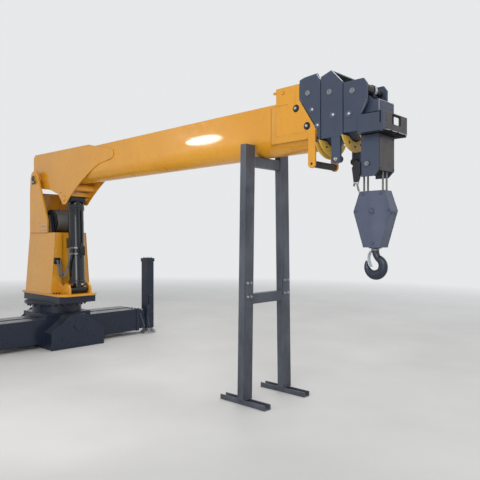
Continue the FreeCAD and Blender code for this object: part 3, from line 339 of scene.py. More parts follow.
def oblong(half_across, half_up):
    """The outline of a rectangle round its middle."""
    return [(-half_across, -half_up), (half_across, -half_up),
            (half_across, half_up), (-half_across, half_up)]


def plate_ways(axis, up):
    """The across, up and outward ways of a plate that faces along the axis."""
    w = Vector(axis).normalized()
    v = (Vector(up) - w * Vector(up).dot(w)).normalized()
    return v.cross(w), v, w


def turned_to(axis):
    return Vector(axis).normalized().to_track_quat("Z", "Y").to_matrix()


pieces = []


class Piece:
    """One added piece of one material, gathered from small shapes."""

    def __init__(self, name, body, finish, blend=None):
        self.name, self.body, self.finish, self.blend = name, body, finish, blend
        self.grid = bmesh.new()
        pieces.append(self)

    def ring(self, places):
        return [self.grid.verts.new(Vector(place) * MM) for place in places]

    def ring_wall(self, rings):
        """Faces between rings of corners; a ring of one corner is a point."""
        for low, high in zip(rings, rings[1:]):
            steps = max(len(low), len(high))
            for i in range(steps):
                j = (i + 1) % steps
                four = (low[i % len(low)], low[j % len(low)], high[j % len(high)], high[i % len(high)])
                corners = list(dict.fromkeys(four))
                if len(corners) > 2:
                    self.grid.faces.new(corners)

    def closed_wall(self, rings):
        """A wall of rings with a face over each end."""
        self.ring_wall(rings)
        self.grid.faces.new(list(reversed(rings[0])))
        self.grid.faces.new(rings[-1])

    def turned(self, profile, place, axis, steps=20, spin=0.0):
        """A turned shape: (radius, height) pairs along an axis from a place."""
        basis = turned_to(axis)
        self.ring_wall([self.ring([Vector(place) + basis @ Vector((x, y, height))
                                   for x, y in circle(steps if radius > 0 else 1, radius, spin)])
                        for radius, height in profile])

    def disc(self, place, axis, radius, high, chamfer=1.0, steps=24):
        self.turned([(radius, 0), (radius, high - chamfer), (radius - chamfer, high), (0, high)],
                    place, axis, steps)

    def hoop(self, place, axis, inner, outer, high, steps=24):
        """A flat ring with a small chamfer."""
        edge = min(1.0, high * 0.3)
        self.turned([(inner, 0), (inner, high - edge), (inner + edge, high), (outer - edge, high),
                     (outer, high - edge), (outer, 0)], place, axis, steps)

    def bolt(self, place, axis, half=9, washer=True):
        """A hex bolt head on its washer; half is half its width over the flats."""
        spin = random.uniform(0, 1)
        start = Vector(axis).normalized() * (0.3 * half if washer else 0)
        if washer:
            self.disc(place, axis, half * 1.45, 0.3 * half, 0.6, 16)
        rim = half * HEX_CORNERS
        self.turned([(rim, 0), (rim, half * 1.05), (rim * 0.86, half * 1.25), (0, half * 1.25)],
                    Vector(place) + start, axis, 6, spin)

    def stud(self, place, axis, half=9):
        """A nut with its thread's end standing out of it."""
        self.bolt(place, axis, half)
        top = Vector(place) + Vector(axis).normalized() * half * 1.5
        thread = half * 0.6
        self.turned([(thread, 0), (thread, thread), (half * 0.45, half * 0.75), (0, half * 0.75)],
                    top, axis, 12)

    def pad(self, outline, thick, place, axis, up=UP, chamfer=1.5):
        """A plate with a chamfered rim; its outline is (across, up) from the place, seen along the axis."""
        u, v, w = plate_ways(axis, up)
        middle = Vector((sum(a for a, b in outline), sum(b for a, b in outline))) / len(outline)
        rings = []
        for height, inset in ((0, 0), (thick - chamfer, 0), (thick, chamfer)):
            flats = []
            for point in outline:
                away = Vector(point) - middle
                flats.append(middle + away * max(0.0, 1 - inset / max(away.length, 0.1)))
            rings.append(self.ring([Vector(place) + u * at.x + v * at.y + w * height for at in flats]))
        self.closed_wall(rings)

    def framed(self, outer, hole, thick, place, axis, chamfer=1.5):
        """A plate with a window; outer and hole are (left, low, right, high) from the place."""
        u, v, w = plate_ways(axis, UP)
        rings = []
        deep = thick - chamfer
        for (left, low, right, high), grow, height in (
                (outer, 0, 0), (outer, 0, deep), (outer, -chamfer, thick),
                (hole, chamfer, thick), (hole, 0, deep), (hole, 0, 0)):
            left, low, right, high = left - grow, low - grow, right + grow, high + grow
            flats = ((left, low), (right, low), (right, high), (left, high))
            rings.append(self.ring([Vector(place) + u * a + v * b + w * height for a, b in flats]))
        self.ring_wall(rings + rings[:1])

    def arc_plate(self, inner, outer, start, end, thick, place, axis, up, steps=16):
        """Part of a flat ring; the angles are in degrees from up, turning towards up's left."""
        u, v, w = plate_ways(axis, up)
        section = ((inner, 0), (outer, 0), (outer, thick - 1), (outer - 1, thick), (inner + 1, thick),
                   (inner, thick - 1))
        rings = []
        for i in range(steps + 1):
            turn = math.radians(start + (end - start) * i / steps)
            out = u * math.sin(turn) + v * math.cos(turn)
            rings.append(self.ring([Vector(place) + out * far + w * height for far, height in section]))
        self.closed_wall(rings)

    def tube(self, points, radius, steps=10, fine=6, ripple=0.0):
        """A round bar or hose along a rounded line; ripple makes its girth wave as a weld bead's does."""
        line = course(points, fine)
        way = (line[1] - line[0]).normalized()
        side = way.orthogonal().normalized()
        rings = []
        for i, here in enumerate(line):
            ahead = line[min(i + 1, len(line) - 1)] - line[max(i - 1, 0)]
            if ahead.length > 1e-6:
                way = ahead.normalized()
            side = (side - way * side.dot(way)).normalized()
            other = way.cross(side)
            girth = radius * (1 + ripple * math.sin(i * 2.1) + ripple * 0.5 * math.sin(i * 0.7))
            rings.append(self.ring([here + (side * a + other * b) * girth for a, b in circle(steps, 1)]))
        self.closed_wall(rings)

    def weld(self, points, radius=4.0, pitch=7.0):
        """A weld bead along straight runs between the points."""
        for a, b in zip(points, points[1:]):
            a, b = Vector(a), Vector(b)
            count = max(2, int((b - a).length / pitch))
            line = [a.lerp(b, i / count) for i in range(count + 1)]
            self.tube(line, radius, WELD_STEPS, 1, WELD_RIPPLE)

    def weld_ring(self, place, axis, radius, bead=4.0):
        """A weld bead round a boss."""
        basis = turned_to(axis)
        around = circle(max(12, int(2 * math.pi * radius / 8)), radius)
        self.tube([Vector(place) + basis @ Vector((x, y, 0)) for x, y in around + around[:1]],
                  bead, WELD_STEPS, 1, WELD_RIPPLE)

    def build(self):
        bmesh.ops.remove_doubles(self.grid, verts=self.grid.verts, dist=JOIN_DISTANCE)
        bmesh.ops.recalc_face_normals(self.grid, faces=self.grid.faces)
        data = bpy.data.meshes.new(self.name)
        self.grid.to_mesh(data)
        self.grid.free()
        data.materials.append(FINISHES[self.finish])
        for face in data.polygons:
            face.use_smooth = True
        data.set_sharp_from_angle(angle=math.radians(SHARP_CREASE))
        thing = bpy.data.objects.new(self.name, data)
        bpy.context.collection.objects.link(thing)
        if self.blend:
            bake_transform(thing)
        else:
            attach(thing, self.body)
        SLOTS.get(self.finish, self.finish)


BACKDROP = (0.80, 0.81, 0.82, 1.0)
FLOOR_REACH = 60
# The floor turns into the backdrop's colour between these distances from the crane.
FLOOR_FADE = (5.0, 12.0)
# Area lamps: name, place, what they face, width and height, watts, and where it isn't plain also share of
# diffuse light, shape and roll. The window lamp makes only the bright spot on the boom's flank.
LAMPS = (
    ("key", (7.4, -5.9, 5.3), (3.4, 0, 1.7), (6, 4), 290),
    ("fill", (9.5, 2.5, 4.0), (3, 0, 1.4), (5, 4), 18),
    ("top", (1.5, 3.5, 8.0), (1.5, 0, 1), (7, 5), 260),
    ("low", (5.8, -4.8, 0.8), (4.3, 0, 2.0), (3.0, 1.2), 24),
    ("column", (3.4, -2.2, 1.4), (0.3, 0, 1.2), (1.2, 1.2), 13),
    ("window", (-0.77, -3.53, 3.12), (2.73, -0.14, 2.23), (0.66, 0.15), 9, 0.05, "ELLIPSE", 9),
)
SKY = (0.93, 0.96, 1.0, 1)
SKY_STRENGTH = 0.5


def studio_floor():
    """A pale floor that runs out into the backdrop."""
    mesh = bpy.data.meshes.new("floor")
    grid = bmesh.new()
    bmesh.ops.create_grid(grid, x_segments=2, y_segments=2, size=FLOOR_REACH)
    grid.to_mesh(mesh)
    grid.free()
    floor = bpy.data.objects.new("floor", mesh)
    floor.location = (0, 0, -0.0005)
    bpy.context.collection.objects.link(floor)
    n = Nodes("floor_finish")
    colour = n.mix(n.patches(0.7, 5, 0.3, 0.75), (206, 205, 202), (220, 219, 216))
    mesh.materials.append(n.finish(colour, 0.55, n.bump(n.noise(60, 4), 0.1, 0.001), shine=0.08))
    away = n.add("VectorMath", {0: n.place}, operation="LENGTH").outputs["Value"]
    glow = n.add("Emission", {"Color": BACKDROP, "Strength": 1.0})
    fade = n.add("MixShader", {0: n.ramp(away, *FLOOR_FADE)})
    n.feed(fade.inputs[1], n.shader.outputs[0])
    n.feed(fade.inputs[2], glow.outputs[0])
    n.feed(n.tree.nodes["Material Output"].inputs[0], fade.outputs[0])


def studio_sky():
    """An even sky for light, and the backdrop's colour where the camera or a reflection meets it."""
    world = bpy.data.worlds.new("studio")
    bpy.context.scene.world = world
    world.use_nodes = True
    tree = world.node_tree
    add = tree.nodes.new
    link = tree.links.new
    sky = tree.nodes["Background"]
    sky.inputs["Color"].default_value = SKY
    sky.inputs["Strength"].default_value = SKY_STRENGTH
    pale = add("ShaderNodeBackground")
    pale.inputs["Color"].default_value = BACKDROP
    pale.inputs["Strength"].default_value = 1.0
    path = add("ShaderNodeLightPath")
    mixer = add("ShaderNodeMixShader")
    seen = path.outputs["Is Camera Ray"]
    for kind in ("Is Glossy Ray", "Is Transmission Ray"):
        total = add("ShaderNodeMath")
        total.use_clamp = True
        link(seen, total.inputs[0])
        link(path.outputs[kind], total.inputs[1])
        seen = total.outputs[0]
    link(seen, mixer.inputs[0])
    link(sky.outputs[0], mixer.inputs[1])
    link(pale.outputs[0], mixer.inputs[2])
    link(mixer.outputs[0], tree.nodes["World Output"].inputs[0])


def studio_lamp(name, place, target, size, watts, diffuse=1.0, shape="RECTANGLE", roll=0):
    data = bpy.data.lights.new(name, "AREA")
    data.shape = shape
    data.size, data.size_y = size
    data.energy = watts
    data.diffuse_factor = diffuse
    lamp = bpy.data.objects.new(name, data)
    lamp.location = place
    lamp.rotation_euler = (Vector(target) - Vector(place)).to_track_quat("-Z", "Y").to_euler()
    lamp.rotation_euler.rotate_axis("Z", math.radians(roll))
    lamp.visible_camera = False
    bpy.context.collection.objects.link(lamp)


# Places and sizes that several pieces share, as the CAD source has them.
BASE_END = 540
BASE_SHELL_Y = 338
BOSS_Z = 268
RING_BOLTS = 24
RING_BOLT_CIRCLE = 350
# Outriggers: name, side, and the x of the rear face of its housing.
OUTRIGGERS = (("far", 1, 130), ("near", -1, -130))
HOUSING_DEEP = 200
HOUSING_LOW = 60
HOUSING_HIGH = 350
HOUSING_BAND_Y = 1012
LEG_INSIDE = 1150
LEG_MIDDLE = 1210
LEG_TOP = 1046
JACK_FOOT_TOP = 24
TABLE_TOP = 650
COLUMN_FRONT = 352
COLUMN_REAR = -332
TOWER_Y = 218
FITTINGS_Z = 1048
FITTINGS_Y = (-206, -170)
DRUM = (135, 1540)
RAM_FOOT = Vector((509, 0, 702))
RAM_EYE = (462, 1802)
RAM_WAY = Vector((RAM_EYE[0] - RAM_FOOT.x, 0, RAM_EYE[1] - RAM_FOOT.z)).normalized()
RAM_SIDE = Vector((RAM_WAY.z, 0, -RAM_WAY.x))
GLAND = 1022
# The bodies that a hose runs between, and where its bending would begin and end; a hose given these is kept
# in world place rather than put on a body.
HOSE_BLEND = ("slewing", "ram_barrel", (400, 0, 900), (560, 0, 900))
FOOT = (-180, 2080)
BOOM_HALF = 140
BOOM_REAR = -335
COLLAR_FACE = 154
CHEEK_FACE = 150
SHEAVES_X = 4548
HEAD_AXLE_Z = 1821
HEAD_FACE = 104
HEAD_FRONT = 4634
TIP_SHEAVE = (4520, 2343)
BRACKET_Z = 2085
BRACKET_WALL = 160
BLOCK_FACE = 50
BLOCK_HALF = 142
BLOCK_MID = 1500
BLOCK_TOP = 1640
BLOCK_LOW = 1248
HOOK_Z = 1117
STAND_X = 3535
STAND_FACE = 3564
STAND_CHANNEL_MID = 54


def base_details():
    """Weld beads and ring bolts of the base frame."""
    beads = Piece("base_welds", "base", "navy_paint")
    for side in SIDES:
        y = BASE_SHELL_Y * side
        beads.weld_ring((BASE_END * side, 0, BOSS_Z), (side, 0, 0), 61, 4.5)
        for back in (130, -130):
            for x in (back - 1, back + HOUSING_DEEP + 1):
                beads.weld([(x, y, 62), (x, y, 194)], 4)
        for x in (519, -519):
            beads.weld([(x, y, 12), (x, y, 192), (x, 80 * side, 385)], 4.5, 9)
    for z, bead in ((402, 5), (512, 4)):
        beads.weld_ring((0, 0, z), UP, 302, bead)
    for side in SIDES:
        for y, z in ((-210, 120), (210, 120), (-120, 330), (120, 330)):
            beads.bolt((BASE_END * side, y, z), (side, 0, 0))
    heads = Piece("ring_bolt_heads", "base", "black_paint")
    for x, y in circle(RING_BOLTS, RING_BOLT_CIRCLE):
        heads.bolt((x, y, 500), DOWN, 10)


def housing_details():
    """Adjusting screws, end bands and clamp studs of the outriggers' housings."""
    screws = Piece("housing_screws", "base", "bolt_steel")
    for name, side, back in OUTRIGGERS:
        for x in (back + 55, back + 145):
            screws.stud((x, 985 * side, HOUSING_HIGH), UP, 8)
    bands = Piece("housing_bands", "base", "navy_paint")
    for name, side, back in OUTRIGGERS:
        front = back + HOUSING_DEEP
        rim = ((back, HOUSING_LOW), (front, HOUSING_LOW), (front, HOUSING_HIGH), (back, HOUSING_HIGH))
        for (x1, z1), (x2, z2) in zip(rim, rim[1:] + rim[:1]):
            half = max(abs(x2 - x1), abs(z2 - z1)) / 2
            bands.pad(oblong(22, half), 7, ((x1 + x2) / 2, HOUSING_BAND_Y * side, (z1 + z2) / 2),
                      (z2 - z1, 0, x1 - x2), (x2 - x1, 0, z2 - z1), 2)
        for z in (110, 300):
            for x, face in ((back, -1), (front, 1)):
                bands.stud((x, 970 * side, z), (face, 0, 0), 8)


def leg_details(name, side, back):
    """Cap, side plates, gusset edges, bolts and the jack's foot of one outrigger's leg."""
    middle = back + 100 + side * 60
    inside, centre = LEG_INSIDE * side, LEG_MIDDLE * side
    leg = Piece("leg_details_" + name, "outrigger_" + name, "navy_paint")
    leg.pad(oblong(46, 46), 6, (middle, centre, LEG_TOP), UP, FAR, 2)
    leg.weld([(middle - 68, inside - 8 * side, 1000), (middle + 68, inside - 8 * side, 1000)], 3)
    for face in SIDES:
        leg.pad(oblong(30, 62), 8, (middle + 60 * face, centre, 470), (face, 0, 0), UP, 2)
        for z in (430, 510):
            leg.bolt((middle + 68 * face, centre, z), (face, 0, 0))
    leg.weld([(back + 25, inside, 335), (back + 175, inside, 335)], 4)
    edges = Piece("leg_gusset_edges_" + name, "outrigger_" + name, "dull_steel")
    front = back + HOUSING_DEEP - 3
    for x, (y1, z1), (y2, z2) in ((front, (1052, 288), (1128, 96)), (front, (1104, 196), (1136, 92)),
                                  (middle + 70, (1162, 236), (1186, 92))):
        edges.weld([(x, y1 * side, z1), (x, y2 * side, z2)], 2.6, 9)
    edges.bolt((front - 1, 1086 * side, 322), FORWARD, 6, False)
    edges.bolt((middle + 68, 1170 * side, 366), FORWARD, 6, False)
    bolts = Piece("leg_bolts_" + name, "outrigger_" + name, "bolt_steel")
    for x, y in oblong(34, 34):
        bolts.bolt((middle + x, centre + y, LEG_TOP + 6), UP, 7)
    for x in (-20, 24):
        bolts.stud((middle + x, inside - 60 * side, 334), UP, 8)
    foot = Piece("jack_foot_ribs_" + name, "jack_" + name, "steel")
    for x, y in circle(8, 1, math.pi / 8):
        across = Vector((-y, x, 0))
        foot.pad([(62, 0), (100, 0), (100, 6), (66, 40), (62, 40)], 6,
                 Vector((middle, centre, JACK_FOOT_TOP)) - across * 3, across, UP, 1)
    foot.hoop((middle, centre, JACK_FOOT_TOP), UP, 50, 66, 5, 32)


def pivot_cap(caps, bolts, side, radius=38, lean=12):
    """The end of the boom's foot pin: a chamfered cap, and a leaning keeper plate with two bolts."""
    out = (0, side, 0)
    x, z = FOOT
    y = 232 * side
    turn = math.radians(lean)
    caps.disc((x, y, z), out, radius, 5, 2.0, 32)
    reach = radius + 12
    spot = Vector((x + reach * math.sin(turn), y - 4 * side, z - reach * math.cos(turn)))
    caps.pad(oblong(38, 13), 12, spot, out, (math.sin(turn), 0, -math.cos(turn)))
    for across in (-24, 24):
        bolts.bolt(spot + Vector((across * math.cos(turn), 12 * side, across * math.sin(turn))), out, 8)


def column_details():
    """Bolts, beads and pin keepers of the column, its ears and the tower."""
    beads = Piece("column_welds", "slewing", "yellow_paint")
    for side, out in FACES:
        for y in (121, 151):
            beads.weld([(COLUMN_FRONT, y * side, 653), (580, y * side, 653)], 4)
            beads.weld([(COLUMN_FRONT, y * side, 656), (COLUMN_FRONT, y * side, 768)], 4)
        for y in (196, TOWER_Y):
            beads.weld([(-299, y * side, 1393), (164, y * side, 1393)], 4)
        beads.weld([(-286, 194 * side, 1396), (-286, 194 * side, 1905)], 4, 9)
        beads.weld([(COLUMN_FRONT, 258 * side, 652), (COLUMN_FRONT, 205 * side, 1388)], 3, 9)
        beads.weld([(-330, 262 * side, 652), (350, 262 * side, 652)], 4, 9)
        beads.disc((RAM_FOOT.x, 158 * side, RAM_FOOT.z), out, 24, 4, 1.5, 28)
        beads.hoop((RAM_FOOT.x, 150 * side, RAM_FOOT.z), out, 30, 50, 4, 32)
        beads.hoop((FOOT[0], TOWER_Y * side, FOOT[1]), out, 42, 62, 4, 32)
    beads.weld([(COLUMN_REAR, -258, 652), (COLUMN_REAR, 258, 652)], 4, 9)
    dark = Piece("table_bolts", "slewing", "black_paint")
    for y in (-240, -205, -170, -100, -60, 60, 100, 170, 205, 240):
        dark.bolt((378, y, TABLE_TOP), UP)
    for y in range(-225, 226, 50):
        dark.bolt((-378, y, TABLE_TOP), UP)
    caps = Piece("pivot_caps", "slewing", "black_paint")
    bolts = Piece("pivot_bolts", "slewing", "bolt_steel")
    for side in SIDES:
        pivot_cap(caps, bolts, side)
        for z in (1430, 1480):
            for x in (40, 100):
                bolts.bolt((x, TOWER_Y * side, z), (0, side, 0))
    for z in (1430, 1880):
        for y in (-150, -50, 50, 150):
            bolts.bolt((-300, y, z), BACKWARD, 8)
    gear = Piece("winch_gear_case", "slewing", "black_paint")
    gear.turned([(74, 0), (78, -4), (78, -20), (62, -26), (62, -34), (0, -34)],
                (DRUM[0], 192, DRUM[1]), NEAR, 32)
    nuts = Piece("fitting_nuts", "slewing", "black_paint")
    for y in FITTINGS_Y:
        nuts.turned([(17, 0), (17, 9), (15, 11), (12, 11)], (374, y, FITTINGS_Z), FORWARD, 6, 0.3)
        nuts.turned([(15, 0), (15, 12), (13, 14), (10, 14)], (385, y, FITTINGS_Z), FORWARD, 6, 0.1)


def winch_details():
    """One layer of rope wound from flange to flange on the drum, and the flanges' bolts."""
    rope = Piece("winch_rope", "winch", "wire_rope")
    turns, steps = 18, 22
    count = turns * steps
    spots = []
    for i in range(count + 1):
        turn = 2 * math.pi * i / steps
        y = -127 + 254 * i / count
        spots.append((DRUM[0] + 132.5 * math.cos(turn), y, DRUM[1] + 132.5 * math.sin(turn)))
    rope.tube(spots, 6.6, 8, 1)
    rims = Piece("winch_rims", "winch", "black_paint")
    for side in SIDES:
        for x, z in circle(6, 90, 0.2):
            rims.bolt((DRUM[0] + x, 150 * side, DRUM[1] + z), (0, side, 0), 3, False)


def on_ram(along, across=0.0, y=0.0):
    """A place beside the lift cylinder: along it from its foot, and across towards the front."""
    return RAM_FOOT + RAM_WAY * along + RAM_SIDE * across + Vector((0, y, 0))


def ram_details():
    """The lift cylinder's gland, valve block, hard line and hoses."""
    block = Piece("ram_valve_block", "ram_barrel", "black_paint")
    block.pad([(-48, 4), (50, 4), (50, 112), (-48, 112)], 34, on_ram(406, 80), RAM_SIDE, RAM_WAY, 4)
    block.pad([(-22, 20), (34, 20), (34, 96), (-22, 96)], 20, on_ram(406, 114), RAM_SIDE, RAM_WAY, 3)
    block.turned([(18, 0), (18, 26), (14, 32), (0, 32)], on_ram(526, 97, 18), RAM_WAY, 18)
    block.turned([(14, 0), (14, 22), (11, 27), (0, 27)], on_ram(406, 97, 10), -RAM_WAY, 18)
    block.hoop(on_ram(GLAND), RAM_WAY, 75, 99, 8, 40)
    for along in (96, 980):
        block.hoop(on_ram(along), RAM_WAY, 92, 103, 8, 48)
    hard_line = ((526, 100), (580, 101), (860, 101), (930, 104), (965, 95))
    block.tube([on_ram(along, across, 24) for along, across in hard_line], 8, 10, 6)
    for along in (660, 800):
        block.pad(oblong(18, 9), 20, on_ram(along, 86, 24), RAM_SIDE, RAM_WAY, 3)
    for y, along in ((-44, 412), (34, 412), (-44, 516), (34, 516)):
        block.bolt(on_ram(along, 114, y), RAM_SIDE, 6, False)
    ports = (430, 500)
    fittings = Piece("ram_fittings", "ram_barrel", "bolt_steel")
    for along in ports:
        fittings.turned([(15, 0), (15, 12), (12, 14), (12, 34), (9, 36), (9, 44)], on_ram(along, 97, -47),
                        NEAR, 6, 0.4)
    fittings.turned([(13, 0), (13, 10), (11, 12)], on_ram(526, 100, 24), RAM_WAY, 6)
    for across, y in circle(8, 87, 0.2):
        fittings.bolt(on_ram(GLAND + 8, across, y), RAM_WAY, 6, False)
    for index, (y, along) in enumerate(zip(FITTINGS_Y, reversed(ports))):
        hose = Piece("ram_hose_%d" % (index + 1), None, "hose_rubber", blend=HOSE_BLEND)
        end = on_ram(along, 97, -90)
        drop = 852 + 12 * index
        aside = 4 * index
        hose.tube([(392, y, FITTINGS_Z), (414, y, 1040), (424, y + 2, 980), (428, y + 12, 900),
                   (444, y + 30, drop), (478, -138 - 2 * aside, drop + 22),
                   (508, -124 - 1.5 * aside, drop + 100), (530, -122 + aside, drop + 190),
                   (552, -130 + aside, end.z - 58), (end.x - 14, -140, end.z - 18),
                   (end.x, -126, end.z), end], 11, 12, 5)


def collar_details():
    """Adjusting screws and their black rings on the outer section, a dark disc painted as the shade in a
    hole at the roller's end, a dark dot on each cheek, and a dark strip painted as the shadow along the
    collar's slanted edge.
    """
    screws = Piece("adjuster_screws", "boom", "bolt_steel")
    rings = Piece("adjuster_rings", "boom", "black_paint")
    for side, out in FACES:
        face = COLLAR_FACE * side
        for x, z in ((3973, 2286), (4075, 2140)):
            rings.turned([(29, 0), (27, 4), (21, 4), (19, 1), (0, 1)], (x, face, z), out, 32)
            screws.bolt((x, face + side, z), out, 11, False)
            screws.turned([(7, 0), (7, 5), (5.5, 6.5), (0, 6.5)], (x, face + 14 * side, z), out, 12)
        # A dark disc where the roller's end bolt was: painted shade in a hole.
        rings.disc((4116, face, 1858), out, 9, 3, 1, 20)
        rings.disc((386, CHEEK_FACE * side, 1876), out, 8, 3, 1, 16)
        # A thin dark strip along the collar's slanted edge: painted shadow of the gap beside the ear.
        slope = [(-77, 122), (-77, 116), (78, -124), (78, -114)]
        rings.pad([(-side * x, z) for x, z in slope], 1.6, (4080, face, 2230), out, UP, 0.3)


def boom_beads():
    """Bolts, weld beads and pin discs in the boom's own paint."""
    gold = Piece("collar_bolts", "boom", "yellow_paint")
    for side, out in FACES:
        gold.bolt((3853, COLLAR_FACE * side, 2425), out)
        gold.turned([(11, 0), (11, 26), (9, 29), (0, 29)], (3779, 147 * side, 2437), BACKWARD, 14)
        gold.weld([(3781, 155 * side, 2332), (3885, 155 * side, 2332), (3893, 155 * side, 2322)], 1.6, 8)
        gold.weld([(3782, 100 * side, 2354), (3836, 100 * side, 2354)], 4)
        gold.weld([(-330, 141 * side, 2354), (1010, 141 * side, 2354)], 4, 10)
        gold.weld_ring((FOOT[0], CHEEK_FACE * side, FOOT[1]), out, 70, 3.5)
        gold.weld_ring((RAM_EYE[0], CHEEK_FACE * side, RAM_EYE[1]), out, 40, 3)
        gold.weld_ring((640, 139 * side, 1925), out, 42, 4)
        gold.disc((RAM_EYE[0], CHEEK_FACE * side, RAM_EYE[1]), out, 34, 6, 2, 32)
        gold.disc((RAM_EYE[0], (CHEEK_FACE + 6) * side, RAM_EYE[1]), out, 24, 4, 2, 32)
    gold.weld([(-337, -138, 2350), (-337, 138, 2350)], 4)


def fairing_details():
    """The wedge that lets the collar's plates run out into the boom's sides."""
    front, back, edge = 4084, 3779, 3715
    high, low, foot = 2332, 2101, 2040
    fairing = Piece("collar_fairing", "boom", "yellow_paint")
    for side in SIDES:
        face, skin = COLLAR_FACE * side, BOOM_HALF * side
        rim = fairing.ring([(back, face, high), (back, face, low), (front, face, low)])
        thin = fairing.ring([(edge, skin, high), (edge, skin, foot), (front, skin, foot)])
        inside = fairing.ring([(back, skin, high), (back, skin, low), (front, skin, low)])
        fairing.closed_wall([list(section) for section in zip(rim, thin, inside)])


def boom_rear_details():
    """The rod pin's and the wear plate's bolts, and the cover over the boom's rear end."""
    bright = Piece("rod_pin_bolts", "boom", "bolt_steel")
    for side in SIDES:
        bright.bolt((542, 60 * side, 1850), BACKWARD, 7)
        bright.bolt((3796, 90 * side, 2367), UP)
    for y, z in ((-95, 2300), (95, 2300), (-95, 2130), (95, 2130), (0, 2020), (0, 2320)):
        bright.bolt((BOOM_REAR, y, z), BACKWARD)
    rear = Piece("rear_cover", "boom", "yellow_paint")
    rear.pad([(-70, -80), (-48, -104), (48, -104), (70, -80), (70, 80), (48, 104), (-48, 104), (-70, 80)],
             8, (BOOM_REAR, 0, 2190), BACKWARD, UP, 2)


# Inner sections' ears: body, half width over them, roller axle, and the adjusting screws.
EARS = (("section_2", 155, (4083, 2380), ((4121, 2250), (4169, 2129))),
        ("section_3", 150, (4269, 2354), ((4297, 2184),)),
        ("section_4", 145, (4454, 2329), ((4424, 2172),)))
# Beads where the ears meet the section: body, half width of the section, x span, and heights.
EAR_BEADS = (("section_2", 127, (4085, 4183), (2243, 2313)),
             ("section_3", 113, (4208, 4365), (2223, 2293)),
             ("section_4", 99, (4394, 4485), (2223, 2293)))
# Collars with wear screws in their bottoms, from the outer section inwards: body, and x of the face.
COLLARS = (("boom", 4171), ("section_2", 4201), ("section_3", 4387))


def section_details():
    """Axle ends, adjusting screws, pale edges of worn paint and painted highlight, and ear beads of the
    inner sections.
    """
    for body, face, (x, z), pins in EARS:
        discs = Piece("axle_ends_" + body, body, "dull_steel")
        rings = Piece("ear_rings_" + body, body, "block_paint")
        screws = Piece("ear_screws_" + body, body, "bolt_steel")
        for side, out in FACES:
            discs.turned([(21, 0), (21, 5), (19, 7), (13, 7), (11, 4), (6, 4), (5, 6), (0, 6)],
                         (x, face * side, z), out, 32)
            for a, b in pins:
                # The bright screw head and small hoop sit off the boss's centre, towards the front: a real
                # screw, placed to give a painted highlight on the boss's lit side.
                rings.turned([(26, 0), (23, 6), (14, 8), (0, 8)], (a, face * side, b), out, 28)
                rings.hoop((a + 4, (face + 7) * side, b), out, 10, 15, 4)
                screws.turned([(10, 0), (10, 7), (7, 10), (0, 11)], (a + 7, (face + 6) * side, b), out)
    for body, half, (x1, x2), levels in EAR_BEADS:
        beads = Piece("ear_welds_" + body, body, "slate_paint")
        for side in SIDES:
            for z in levels:
                beads.weld([(x1, half * side, z), (x2, half * side, z)], 3)
        if body == "section_3":
            beads.weld([(4281, -132, 2480), (4281, 132, 2480)], 3)
    # Pale tubes along the ridge's edges and the ear's top: painted highlight of the lit rims, partly worn
    # paint.
    ridge = Piece("ridge_edges", "section_3", "edge_wear_and_highlight")
    front = Piece("ear_front_edges", "section_4", "dull_steel")
    for y in (-149, 149):
        ridge.tube([(4288, y, 2504), (4330, y, 2459), (4375, y, 2411)], 3.2, 8, 1)
    ridge.tube([(4287, -148, 2503), (4287, 0, 2503), (4287, 148, 2503)], 3.6, 8, 1)
    # Steel beads on section 4's ear fronts: partly rubbed metal, partly painted highlight of the lit edges.
    for y in (-144, 144):
        front.tube([(4563, y, 2250), (4545, y, 2208), (4523, y, 2170)], 2.0, 8, 1)
    rubbed = Piece("ear_edges", "section_2", "edge_wear_and_highlight")
    rubbed.tube([(4162, -154, 2506), (4176, -154, 2484), (4188, -154, 2463)], 2.6, 8, 1)
    # A thin sheet in the dark shadow paint before the ridge plate: painted shade under the ears' roof.
    ridge_shade_sheet = Piece("ridge_painted_shade", "section_3", "shadow_paint")
    ridge_shade_sheet.pad([(-131, -52), (131, -52), (131, 44), (-131, 44)], 3, (4287, 0, 2450), FORWARD, UP, 1)
    silver = Piece("lug_pins", "section_3", "bolt_steel")
    for side in SIDES:
        silver.bolt((4319, 148 * side, 1872), (0, side, 0))
        silver.disc((4319, 162 * side, 1872), (0, side, 0), 5, 5, 1, 12)
    for order, (body, x) in enumerate(COLLARS):
        keeper = Piece("wear_screws_" + body, body, "black_paint")
        half = BOOM_HALF - 14 * order
        centre = 1970 + 14 * order + half
        radius = half + 30
        for turn in (-66, -33, 0, 33, 66):
            a = math.radians(turn)
            keeper.turned([(9, 0), (9, 1.5), (7, 2.5), (4, 2.5), (3.5, 1), (0, 1)],
                          (x, radius * math.sin(a), centre - radius * math.cos(a)), FORWARD, 16)
    band = Piece("wear_band", "section_4", "mustard_paint")
    for side in SIDES:
        band.arc_plate(98.5, 126, 20 * side, 88 * side, 10, (4478, 0, 2110), FORWARD, DOWN)


